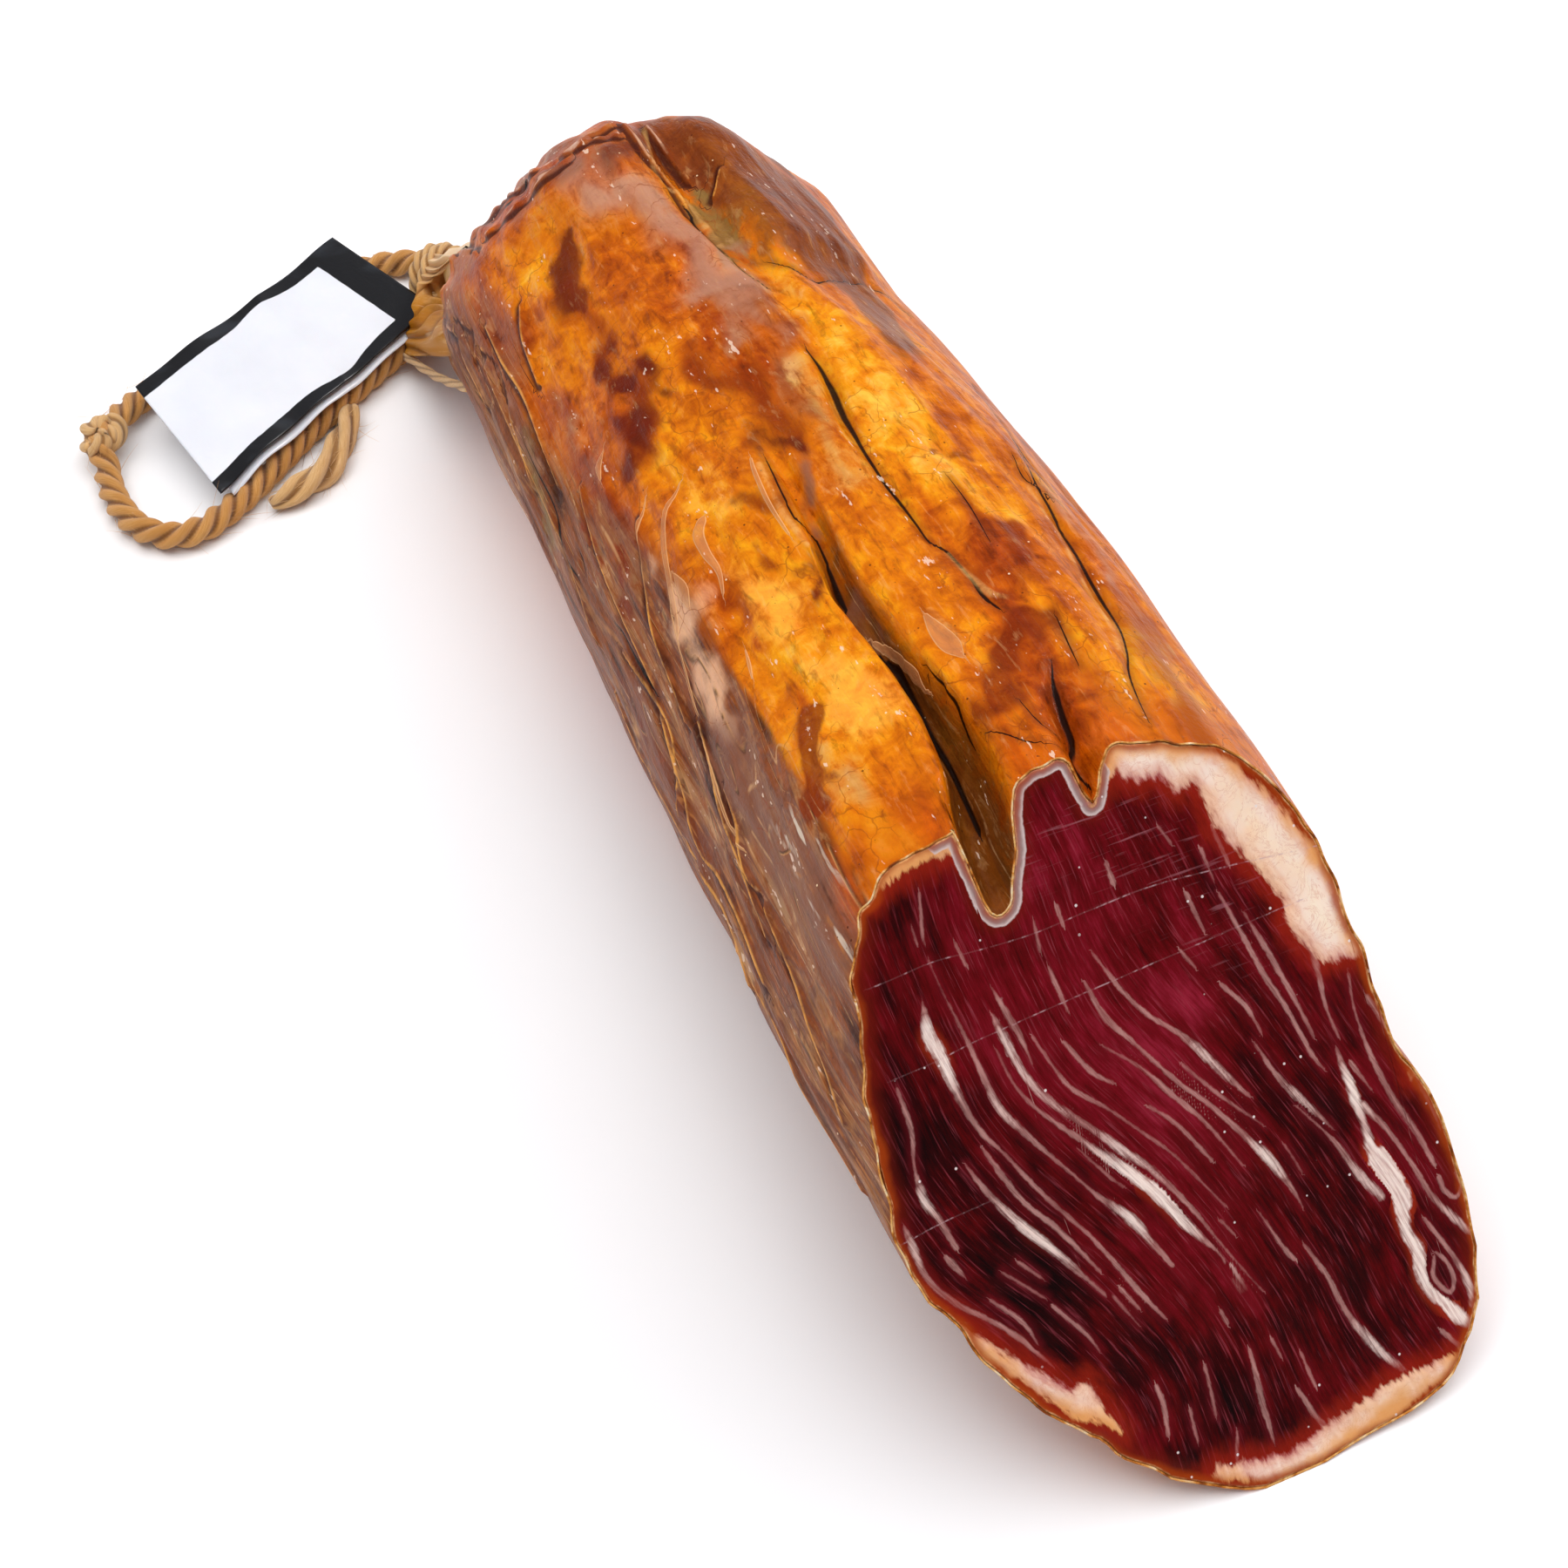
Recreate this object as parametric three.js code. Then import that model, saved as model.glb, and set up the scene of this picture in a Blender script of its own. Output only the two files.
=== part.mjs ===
// A cured pork loin in its casing: a long folded muscle, cut flat on a slant at one end and
// gathered, tied and hung by a rope loop at the other. It lies on its side on a table.
//
// Frame, in millimetres: +X runs along the loin from the tied end to the cut end, +Y across it,
// +Z up. The origin is on the table, under the middle of the loin.
import * as THREE from "three";

// The cut. Its plane meets the table at x = CUT_TOE and leans back by CUT_SLOPE for each mm up.
const CUT_TOE = 122.7;
const CUT_SLOPE = 0.85;

// The blunt tied end, and the length over which the body rounds into it.
const END_X = -98.8;
const END_ROUNDING = 26;
const END_SHARPNESS = 2.2;

// Sections across the body, as radii round the body's own centre line. The first radius points
// along +Y, and the others follow at equal angles, up and over towards -Y and back underneath.
const RADII_END = [32.3, 31.5, 28.4, 31.0, 32.0, 29.5, 28.4, 29.4, 30.0, 29.8, 29.0, 31.0, 30.5, 31.5, 31.0, 30.0];
const RADII_MIDDLE = [34.5, 35.5, 36.0, 35.0, 33.5, 34.0, 34.5, 33.5, 33.0, 34.0, 37.5, 39.5, 37.5, 40.5, 41.5, 37.0];
const RADII_CUT = [32.8, 33.8, 37.2, 37.8, 37.0, 37.8, 41.2, 36.8, 35.6, 32.6, 31.2, 31.8, 35.8, 38.2, 44.2, 40.2];

// Where one section gives way to the next along X.
const END_TO_MIDDLE = [-87, 28];
const MIDDLE_TO_CUT = [13, 68];

// The centre line: it drifts across as it nears the tied end, and sinks as the body thins.
const CENTRE_Y_CUT = -0.73;
const CENTRE_Y_DRIFT = 6.0;
const DRIFT_START_X = 82.7;
const DRIFT_LENGTH = 180;
const CENTRE_Z_CUT = 36.0;
const CENTRE_Z_END = 29.8;

// The gathered neck of casing, from the end face to the tie and the trimmed tip past it.
const NECK_ROOT = [END_X, 0.5, 19.5];
const NECK_TIE = [-120.3, -13.0, 7.2];
const NECK_TIP = [-122.3, -14.2, 5.9];
const NECK_POINT = [-122.7, -14.4, 5.8];
const NECK_ROOT_SCALE = 0.45;
const NECK_TIE_RADIUS = 2.9;
const NECK_TIE_SHARE = 0.2;
const NECK_FLARE = 1.9;
const NECK_TIP_TAPER = 0.15;
const NECK_PLEATS = 9;
const NECK_PLEAT_DEPTH = 0.08;

// Lengthwise folds in the upper side. Each has lists of [x, value] for its place across the
// body, its depth and its half width, and a fullness: 2 is a soft crease, 4 a flat-bottomed gutter.
const FOLDS = {
  deep: {
    place: [[-8, -6.4], [8, -7.8], [22, -9.6], [45, -9.0], [55, -9.6], [64, -11.6], [72, -12.5]],
    depth: [[-12, 0], [0, 1.6], [20, 3.2], [38, 5.0], [50, 7.0], [62, 8.9], [72, 10.2]],
    width: [[-12, 1.2], [20, 1.4], [38, 1.8], [50, 2.4], [62, 2.9], [72, 3.2]],
    fullness: 4,
  },
  lobes: {
    place: [[-90, 10.0], [-75, 8.4], [-57, 7.4], [-39, 8.4], [-30, 7.4], [-16, 6.4], [-4, 3.4], [9, 2.4], [36, 5.4]],
    depth: [[-94, 0], [-86, 1.2], [-74, 4.5], [-60, 3.5], [-45, 2.2], [-30, 1.5], [0, 1.2], [36, 0]],
    width: [[-75, 5.0], [-60, 4.2], [-45, 2.6], [-20, 1.8]],
    fullness: 2,
  },
  right: {
    place: [[7, 20.4], [20, 21.4], [31, 19.4], [47, 15.4]],
    depth: [[0, 0], [12, 1.2], [35, 1.2], [50, 0]],
    width: [[0, 1.8]],
    fullness: 2,
  },
  notch: {
    place: [[47, 6.4], [52, 3.4], [58, 2.4], [67, 1.4]],
    depth: [[42, 0], [52, 1.4], [58, 2.8], [63, 5.0], [67, 6.4]],
    width: [[42, 1.2], [67, 1.9]],
    fullness: 2,
  },
  left: {
    place: [[4, -18.6], [18, -21.6], [36, -22.6]],
    depth: [[0, 0], [12, 1.2], [30, 1.2], [42, 0]],
    width: [[0, 2.0]],
    fullness: 2,
  },
};

// Folds fade in over this height above the centre line.
const FOLD_FADE = 15;

// The far lobe on the right is plumper than the body beside it, and ends in a low step.
const LOBE_RISE = 1.4;
const LOBE_STEP = [-50, -43];
const LOBE_SPREAD = [25, 45, 70, 85];

// How finely the loin is divided: columns round each arc of the section, in degrees, and rows.
const COLUMN_ARCS = [[0, 62, 13], [62, 126, 38], [126, 180, 12], [180, 360, 23]];
const NECK_ROWS = 8;
const CAP_ROWS = 9;
const BODY_ROWS = 30;

// Rows run straight across the body and only lean to meet the cut as they near it.
const ROW_LEAN = 3;

// The search for the cut along a line of skin: its steps, and the share of the way each one goes.
const CUT_STEPS = 60;
const CUT_STRIDE = 0.6;

// The rope: a hank of jute cord, its loop lying on the table beside the tied end.
const ROPE_DIAMETER = 4.4;
const ROPE_UPPER_ROUTE = [
  [-126.6, -10.8, 3.0], [-129.4, -12.8, 2.7], [-131.7, -16.2, 2.4], [-132.8, -20.8, 2.4],
  [-132.6, -26.2, 2.4], [-130.6, -33.4, 2.4], [-127.4, -42.4, 2.4], [-123.8, -52.4, 2.4],
  [-120.8, -60.6, 2.5], [-117.0, -67.6, 2.9],
];
const ROPE_LOWER_ROUTE = [
  [-105.0, -75.4, 2.6], [-101.0, -76.0, 2.4], [-96.2, -75.9, 2.4], [-91.2, -74.6, 2.4],
  [-87.6, -71.2, 2.4], [-86.8, -66.6, 2.4], [-88.4, -62.0, 2.4], [-91.2, -57.0, 2.4],
  [-94.8, -51.6, 2.4], [-98.6, -46.2, 2.4], [-102.2, -40.6, 2.4], [-105.8, -34.6, 2.4],
  [-109.4, -28.4, 2.4], [-112.4, -22.6, 2.4], [-115.0, -18.0, 2.4],
];
const ROPE_TAIL_DIAMETER = 3.8;
const ROPE_TAIL_ROUTE = [
  [-87.7, -54.6, 2.1], [-88.2, -51.6, 2.1], [-89.3, -49.0, 2.1], [-91.3, -45.0, 2.1],
  [-94.7, -41.2, 2.1], [-98.9, -37.5, 2.1], [-101.0, -34.6, 2.1],
];
const ROPE_SIDES = 8;
const STEP_DIAMETERS = 2;

const KNOT_CENTRE = [-110.8, -74.2, 4.5];
const KNOT_HALF_SIZE = [5.0, 4.2, 4.2];
const KNOT_TURN = -0.75;
const KNOT_SEGMENTS = [14, 9];

// Two turns of cord bind the neck.
const TIE_CORD = 2.4;
const TIE_HALF_LENGTH = 2.2;
const TIE_GAP = 0.5;
const TIE_SIDES = 10;
const TIE_SEGMENTS = 18;

// The label: a strip of film folded over into two leaves, resting on the rope.
const LABEL_LENGTH = 47.5;
const LABEL_WIDTH = 21.8;
const LABEL_CENTRE = [-113.6, -43.4];
const LABEL_HEADING = 116.6;
const LABEL_TILT = 6.8;
const LABEL_HEIGHT = 8.1;
const LABEL_LEAF = 0.5;
const LABEL_LEAF_SPACING = 1.1;
const LABEL_WAVE = 0.5;
const LABEL_WAVES = 1.3;
const LABEL_WAVE_PHASE = -0.6;
const LABEL_BACK_SHORTER = 2.0;
const LABEL_SKEW = 5.5;
const LABEL_STEPS = 24;

const lerp = THREE.MathUtils.lerp;
const radians = THREE.MathUtils.degToRad;

function clamp01(t) {
  return Math.min(Math.max(t, 0), 1);
}

// A soft step from 0 at a to 1 at b.
function smooth([a, b], x) {
  const t = clamp01((x - a) / (b - a));
  return t * t * (3 - 2 * t);
}

// The value at x of a list of [x, value], straight between them and level past the ends.
function along(list, x) {
  if (x <= list[0][0]) return list[0][1];
  for (let i = 1; i < list.length; i += 1) {
    const [x0, v0] = list[i - 1];
    const [x1, v1] = list[i];
    if (x <= x1) return lerp(v0, v1, (x - x0) / (x1 - x0));
  }
  return list[list.length - 1][1];
}

// A closed smooth curve through equally spaced radii, read at one angle.
function radiusAt(radii, angle) {
  const n = radii.length;
  const s = (((angle / (2 * Math.PI)) * n) % n + n) % n;
  const i = Math.floor(s);
  const t = s - i;
  const [a, b, c, d] = [-1, 0, 1, 2].map((k) => radii[(i + k + n) % n]);
  const linear = (c - a) * t;
  const square = (2 * a - 5 * b + 4 * c - d) * t * t;
  const cube = (3 * b - a - 3 * c + d) * t * t * t;
  return 0.5 * (2 * b + linear + square + cube);
}

function bodyCentre(x) {
  const drift = Math.max((DRIFT_START_X - x) / DRIFT_LENGTH, 0);
  const y = CENTRE_Y_CUT + CENTRE_Y_DRIFT * drift ** 1.5;
  const z = lerp(CENTRE_Z_END, CENTRE_Z_CUT, smooth(END_TO_MIDDLE, x));
  return [y, z];
}

function bodyRadius(x, angle) {
  const early = lerp(radiusAt(RADII_END, angle), radiusAt(RADII_MIDDLE, angle), smooth(END_TO_MIDDLE, x));
  const radius = lerp(early, radiusAt(RADII_CUT, angle), smooth(MIDDLE_TO_CUT, x));
  const [rise, full, fade, gone] = LOBE_SPREAD.map(radians);
  const spread = smooth([rise, full], angle) * (1 - smooth([fade, gone], angle));
  return radius + LOBE_RISE * spread * (1 - smooth(LOBE_STEP, x));
}

// How far the folds press the upper side down at one place.
function foldDepth(x, y) {
  let depth = 0;
  for (const fold of Object.values(FOLDS)) {
    const s = Math.abs(y - along(fold.place, x)) / along(fold.width, x);
    depth += along(fold.depth, x) * Math.exp(-(s ** fold.fullness));
  }
  return depth;
}

// A point of the body's skin at x and an angle round the centre line.
function bodyPoint(x, angle) {
  const [centreY, centreZ] = bodyCentre(x);
  const near = clamp01((x - END_X) / END_ROUNDING);
  const rounding = (1 - (1 - near) ** END_SHARPNESS) ** (1 / END_SHARPNESS);
  const scale = lerp(NECK_ROOT_SCALE, 1, rounding);
  const radius = bodyRadius(x, angle) * scale;
  const slide = (1 - near) ** 2;
  const y = lerp(centreY, NECK_ROOT[1], slide) + radius * Math.cos(angle);
  const z = lerp(centreZ, NECK_ROOT[2], slide) + radius * Math.sin(angle);
  const upper = smooth([centreZ, centreZ + FOLD_FADE], z) * scale;
  return new THREE.Vector3(x, y, Math.max(z - foldDepth(x, y) * upper, 0));
}

// The x at which a line of skin along the body meets the cut.
function cutX(angle) {
  let x = CUT_TOE - CUT_SLOPE * CENTRE_Z_CUT;
  for (let i = 0; i < CUT_STEPS; i += 1) {
    x = lerp(x, CUT_TOE - CUT_SLOPE * bodyPoint(x, angle).z, CUT_STRIDE);
  }
  return x;
}

// A point of the gathered neck: t runs from its tip to the end face.
function neckPoint(t, angle) {
  const root = bodyPoint(END_X, angle);
  const pastTie = clamp01((t - NECK_TIE_SHARE) / (1 - NECK_TIE_SHARE));
  const toTie = clamp01(t / NECK_TIE_SHARE);
  const centre = [0, 1, 2].map((k) => lerp(lerp(NECK_TIP[k], NECK_TIE[k], toTie), NECK_ROOT[k], pastTie));
  const pleat = 1 + NECK_PLEAT_DEPTH * Math.cos(NECK_PLEATS * angle) * Math.sin(Math.PI * pastTie);
  const rootRadius = Math.hypot(root.y - NECK_ROOT[1], root.z - NECK_ROOT[2]);
  const tipRadius = NECK_TIE_RADIUS * Math.sqrt(clamp01(NECK_TIP_TAPER + toTie));
  const radius = lerp(tipRadius, rootRadius, pastTie ** NECK_FLARE) * pleat;
  const z = centre[2] + radius * Math.sin(angle);
  return new THREE.Vector3(centre[0], centre[1] + radius * Math.cos(angle), Math.max(z, 0));
}

function columnAngles() {
  const angles = [];
  for (const [from, to, count] of COLUMN_ARCS) {
    for (let i = 0; i < count; i += 1) {
      angles.push(radians(lerp(from, to, i / count)));
    }
  }
  return angles;
}

function loinGeometry() {
  const angles = columnAngles();
  const columns = angles.length;
  const cuts = angles.map(cutX);
  const rows = [];
  for (let i = 0; i < NECK_ROWS; i += 1) {
    rows.push(angles.map((angle) => neckPoint(i / NECK_ROWS, angle)));
  }
  for (let i = 0; i < CAP_ROWS; i += 1) {
    const x = END_X + END_ROUNDING * (i / CAP_ROWS) ** 2;
    rows.push(angles.map((angle) => bodyPoint(x, angle)));
  }
  const start = END_X + END_ROUNDING;
  const firstCut = Math.min(...cuts);
  for (let i = 0; i <= BODY_ROWS; i += 1) {
    const t = i / BODY_ROWS;
    const straight = lerp(start, firstCut, t);
    rows.push(angles.map((angle, j) => bodyPoint(straight + (cuts[j] - firstCut) * t ** ROW_LEAN, angle)));
  }
  const positions = rows.flat().flatMap((p) => [p.x, p.y, p.z]);
  const index = [];
  for (let i = 0; i + 1 < rows.length; i += 1) {
    for (let j = 0; j < columns; j += 1) {
      const a = i * columns + j;
      const b = i * columns + ((j + 1) % columns);
      index.push(a, b, b + columns);
      index.push(a, b + columns, a + columns);
    }
  }
  const last = (rows.length - 1) * columns;
  const outline = rows[rows.length - 1].map((p) => new THREE.Vector2(p.y, p.z));
  for (const [a, b, c] of THREE.ShapeUtils.triangulateShape(outline, [])) {
    index.push(last + a, last + b, last + c);
  }
  const tip = positions.length / 3;
  positions.push(...NECK_POINT);
  for (let j = 0; j < columns; j += 1) {
    index.push(tip, (j + 1) % columns, j);
  }
  const geometry = new THREE.BufferGeometry();
  geometry.setAttribute("position", new THREE.Float32BufferAttribute(positions, 3));
  geometry.setIndex(index);
  geometry.computeVertexNormals();
  return geometry;
}

// A round cord carried along a route.
function cordGeometry(route, diameter) {
  const curve = new THREE.CatmullRomCurve3(route.map((p) => new THREE.Vector3(...p)), false, "centripetal");
  const section = new THREE.Shape();
  for (let i = 0; i < ROPE_SIDES; i += 1) {
    const angle = (2 * Math.PI * i) / ROPE_SIDES;
    const x = (diameter / 2) * Math.cos(angle);
    const y = (diameter / 2) * Math.sin(angle);
    if (i === 0) {
      section.moveTo(x, y);
    } else {
      section.lineTo(x, y);
    }
  }
  const steps = Math.ceil(curve.getLength() / (STEP_DIAMETERS * diameter));
  return new THREE.ExtrudeGeometry(section, { steps, bevelEnabled: false, extrudePath: curve });
}

function knotGeometry() {
  const geometry = new THREE.SphereGeometry(1, ...KNOT_SEGMENTS);
  geometry.scale(...KNOT_HALF_SIZE);
  geometry.rotateZ(KNOT_TURN);
  geometry.translate(...KNOT_CENTRE);
  return geometry;
}

// The two turns as one ring round the neck: a closed round profile spun about the neck's line.
function tieGeometry() {
  const ringRadius = NECK_TIE_RADIUS * (1 + NECK_PLEAT_DEPTH) + TIE_GAP + TIE_CORD / 2;
  const profile = [];
  for (let i = 0; i <= TIE_SIDES; i += 1) {
    const angle = (2 * Math.PI * i) / TIE_SIDES;
    const r = ringRadius + (TIE_CORD / 2) * Math.cos(angle);
    profile.push(new THREE.Vector2(r, TIE_HALF_LENGTH * Math.sin(angle)));
  }
  const geometry = new THREE.LatheGeometry(profile, TIE_SEGMENTS);
  const line = new THREE.Vector3(...NECK_ROOT).sub(new THREE.Vector3(...NECK_TIE)).normalize();
  geometry.applyQuaternion(new THREE.Quaternion().setFromUnitVectors(new THREE.Vector3(0, 1, 0), line));
  geometry.translate(...NECK_TIE);
  return geometry;
}

// The label's long section: the front leaf waves, folds back at its far end, and the back leaf
// follows under it. The section is carried across the label's width, and the label's open end is
// cut askew, so that its lower edge is the longer one.
function labelGeometry() {
  const turn = (2 * Math.PI * LABEL_WAVES) / LABEL_LENGTH;
  const wave = (u) => LABEL_WAVE * Math.sin(turn * u + LABEL_WAVE_PHASE);
  const half = LABEL_LEAF / 2;
  const line = (from, to, drop) => {
    const points = [];
    for (let i = 0; i <= LABEL_STEPS; i += 1) {
      const u = lerp(from, to, i / LABEL_STEPS);
      points.push([u, wave(u) - drop]);
    }
    return points;
  };
  const inside = LABEL_LENGTH - LABEL_LEAF;
  const outline = [
    ...line(0, LABEL_LENGTH, -half),
    ...line(LABEL_LENGTH, LABEL_BACK_SHORTER, LABEL_LEAF_SPACING + half),
    ...line(LABEL_BACK_SHORTER, inside, LABEL_LEAF_SPACING - half),
    ...line(inside, 0, half),
  ];
  const shape = new THREE.Shape(outline.map(([u, z]) => new THREE.Vector2(u, z)));
  const geometry = new THREE.ExtrudeGeometry(shape, { depth: LABEL_WIDTH, bevelEnabled: false });
  const positions = geometry.getAttribute("position");
  for (let i = 0; i < positions.count; i += 1) {
    const u = positions.getX(i);
    const across = positions.getZ(i) / LABEL_WIDTH;
    positions.setX(i, u - LABEL_SKEW * across * (1 - u / LABEL_LENGTH));
  }
  geometry.translate(-LABEL_LENGTH / 2, 0, -LABEL_WIDTH / 2);
  geometry.rotateX(Math.PI / 2 + radians(LABEL_TILT));
  geometry.rotateZ(radians(LABEL_HEADING));
  geometry.translate(LABEL_CENTRE[0], LABEL_CENTRE[1], LABEL_HEIGHT);
  return geometry;
}

function finish(color, roughness) {
  return new THREE.MeshStandardMaterial({ color, roughness, metalness: 0 });
}

function piece(name, geometry, material) {
  const mesh = new THREE.Mesh(geometry, material);
  mesh.name = name;
  return mesh;
}

const jute = "#b5803f";
const group = new THREE.Group();
group.add(piece("loin", loinGeometry(), finish("#b8641c", 0.35)));
group.add(piece("neck_tie", tieGeometry(), finish(jute, 0.9)));
group.add(piece("rope_upper", cordGeometry(ROPE_UPPER_ROUTE, ROPE_DIAMETER), finish(jute, 0.9)));
group.add(piece("rope_knot", knotGeometry(), finish(jute, 0.9)));
group.add(piece("rope_lower", cordGeometry(ROPE_LOWER_ROUTE, ROPE_DIAMETER), finish(jute, 0.9)));
group.add(piece("rope_tail", cordGeometry(ROPE_TAIL_ROUTE, ROPE_TAIL_DIAMETER), finish("#caa066", 0.9)));
group.add(piece("label", labelGeometry(), finish("#f2f2f4", 0.4)));

export default group;
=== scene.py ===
import bpy
import numpy as np
from mathutils import Matrix


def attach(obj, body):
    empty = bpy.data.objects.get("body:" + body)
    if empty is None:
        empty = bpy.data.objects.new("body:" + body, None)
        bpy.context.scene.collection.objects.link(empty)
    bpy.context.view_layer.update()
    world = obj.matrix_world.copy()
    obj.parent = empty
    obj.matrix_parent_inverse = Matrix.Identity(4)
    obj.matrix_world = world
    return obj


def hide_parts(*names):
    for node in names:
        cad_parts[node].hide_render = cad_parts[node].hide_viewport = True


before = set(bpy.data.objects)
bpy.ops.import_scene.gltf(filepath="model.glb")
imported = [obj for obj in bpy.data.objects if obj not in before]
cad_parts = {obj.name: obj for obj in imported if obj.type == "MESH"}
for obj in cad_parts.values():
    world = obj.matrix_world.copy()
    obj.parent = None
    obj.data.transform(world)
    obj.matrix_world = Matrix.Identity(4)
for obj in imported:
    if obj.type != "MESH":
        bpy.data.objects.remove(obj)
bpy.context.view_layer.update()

# %% [markdown]
# # A cured pork loin, cut on a slant
# The object is half of a pork loin that was rubbed with spice, pushed into a natural casing and
# hung for months. It has five kinds of surface: amber casing, the dark red cut, jute rope, a
# blank label of folded film, and the dry gathered casing at the tied end. Each of them is made
# below as a surface worked out from named sizes, around the solid model that was loaded above.
#
# The camera comes first. It looks down on the loin from the side of the cut, with a long lens,
# so that the body narrows only a little towards its tied end.

# %% Camera
MM = 0.001
PHOTO_WIDTH = 1800
FOCAL = 3750.0
SENSOR = 36.0
AZIMUTH, ELEVATION = np.radians([65.0, 50.0])
LOOK_AT = np.array([-4.4, -5.8, 0.0])
CAMERA_DISTANCE = 472.6

back = np.array([
    np.sin(AZIMUTH) * np.cos(ELEVATION),
    -np.cos(AZIMUTH) * np.cos(ELEVATION),
    np.sin(ELEVATION),
])
right = np.array([np.cos(AZIMUTH), np.sin(AZIMUTH), 0.0])
up = np.cross(back, right)
EYE = LOOK_AT + CAMERA_DISTANCE * back


def placed(axes, spot):
    """The matrix of an object whose own axes are the rows of axes, at a spot in millimetres."""
    rows = np.column_stack([np.transpose(axes), np.array(spot) * MM])
    return Matrix([*rows.tolist(), [0, 0, 0, 1]])


lens = bpy.data.cameras.new("camera")
lens.sensor_width = SENSOR
lens.lens = FOCAL / PHOTO_WIDTH * SENSOR
lens.clip_start, lens.clip_end = 0.01, 20
camera = bpy.data.objects.new("camera", lens)
camera.matrix_world = placed([right, up, back], EYE)
bpy.context.scene.collection.objects.link(camera)
bpy.context.scene.camera = camera
print(f"lens {lens.lens:.0f} mm, {CAMERA_DISTANCE:.0f} mm from the table point it looks at")

# %% [markdown]
# ## From a picture to the object
# Small marks, such as a crease or a vein of fat, are easiest to place by reading them off the
# picture. A mark's pixel gives a ray from the camera, and the ray gives a place on whatever
# carries the mark: the table, the plane of the cut, or the skin. So every mark lies on its
# surface and still sits there when the object is seen from another side.


# %% Pixels and rays
def project(points):
    """The pixel that shows each point: its offsets right and down from the middle of the picture
    are its sideways offsets from the camera over its depth, times the focal length in pixels."""
    offset = np.asarray(points) - EYE
    depth = -offset @ back
    middle = PHOTO_WIDTH / 2
    across, down = FOCAL * (offset @ right) / depth, FOCAL * (offset @ up) / depth
    return np.stack([middle + across, middle - down], axis=-1)


def on_plane(pixels, normal, height):
    """Where the ray through each pixel meets the plane of points p with p . normal = height."""
    pixels = np.asarray(pixels, float)[..., :2] - PHOTO_WIDTH / 2
    rays = pixels[..., :1] * right - pixels[..., 1:] * up - FOCAL * back
    reach = (height - EYE @ normal) / (rays @ normal)
    return EYE + reach[..., None] * rays


def spline(points, pieces):
    """A smooth line through the points (Catmull-Rom: at each point it runs parallel to the line
    between that point's neighbours), divided into equal pieces by length."""
    p = np.asarray(points, float)
    p = np.concatenate([2 * p[:1] - p[1:2], p, 2 * p[-1:] - p[-2:-1]])
    t = np.linspace(0, 1, 25)[:-1, None]
    a, b, c, d = p[:-3, None], p[1:-2, None], p[2:-1, None], p[3:, None]
    bends = (2 * a - 5 * b + 4 * c - d) * t**2 + (3 * b - a - 3 * c + d) * t**3
    fine = (0.5 * (2 * b + (c - a) * t + bends)).reshape(-1, p.shape[1])
    fine = np.concatenate([fine, p[-2:-1]])
    length = np.concatenate([[0], np.cumsum(np.linalg.norm(np.diff(fine, axis=0), axis=1))])
    even = np.linspace(0, length[-1], pieces + 1)
    return np.stack([np.interp(even, length, fine[:, k]) for k in range(p.shape[1])], axis=-1)


def smooth(low, high, x):
    """A soft step from 0 at low to 1 at high: 3 t^2 - 2 t^3."""
    t = np.clip((x - low) / (high - low), 0, 1)
    return t * t * (3 - 2 * t)


def blend(a, b, t):
    """The value t of the way from a to b."""
    return a + (b - a) * t


def unit(vectors):
    """Each vector divided by its length."""
    return vectors / np.maximum(np.linalg.norm(vectors, axis=-1, keepdims=True), 1e-9)


# %% [markdown]
# ## Putting a surface into Blender
# A surface here is a grid of points, rows by columns. Neighbouring points become four-sided
# faces, and where the grid goes all the way round, the last column joins the first. An open end
# is closed by one flat face. Values that a material needs, such as how deep in a groove a point
# lies, are stored on the points as attributes.


# %% Meshes from grids
def grid_faces(rows, columns, round_columns=True):
    """Corner numbers of the faces of a grid: (r, c), (r, c+1), (r+1, c+1), (r+1, c)."""
    r = np.arange(rows - 1)[:, None]
    c = np.arange(columns if round_columns else columns - 1)
    next_c, next_r = (c + 1) % columns, r + 1
    corners = [r * columns + c, r * columns + next_c, next_r * columns + next_c, next_r * columns + c]
    return np.stack(corners, axis=-1).reshape(-1, 4)


def put_mesh(name, points, faces, material=None, caps=(), values=None, uv=None, flat=False):
    """A mesh object from points in millimetres, four-sided faces and lists of points for end
    caps. values are attributes by name, and uv is a pair of numbers for each face corner."""
    points = np.asarray(points, float).reshape(-1, 3)
    mesh = bpy.data.meshes.new(name)
    mesh.vertices.add(len(points))
    mesh.vertices.foreach_set("co", (points * MM).astype(np.float32).ravel())
    sizes = [faces.shape[1]] * len(faces) + [len(cap) for cap in caps]
    corners = np.concatenate([faces.ravel(), *[np.asarray(cap) for cap in caps]]).astype(np.int32)
    mesh.loops.add(len(corners))
    mesh.loops.foreach_set("vertex_index", corners)
    mesh.polygons.add(len(sizes))
    starts = np.concatenate([[0], np.cumsum(sizes)[:-1]]).astype(np.int32)
    mesh.polygons.foreach_set("loop_start", starts)
    mesh.update(calc_edges=True)
    mesh.polygons.foreach_set("use_smooth", np.full(len(sizes), not flat))
    for key, value in (values or {}).items():
        layer = mesh.attributes.new(key, "FLOAT", "POINT")
        layer.data.foreach_set("value", value.astype(np.float32).ravel())
    if uv is not None:
        spread = np.zeros((len(corners), 2), np.float32)
        spread[: faces.size] = uv.reshape(-1, 2)
        mesh.uv_layers.new(name="grain").data.foreach_set("uv", spread.ravel())
    made = bpy.data.objects.new(name, mesh)
    bpy.context.scene.collection.objects.link(made)
    if material:
        mesh.materials.append(material)
    return made


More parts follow.
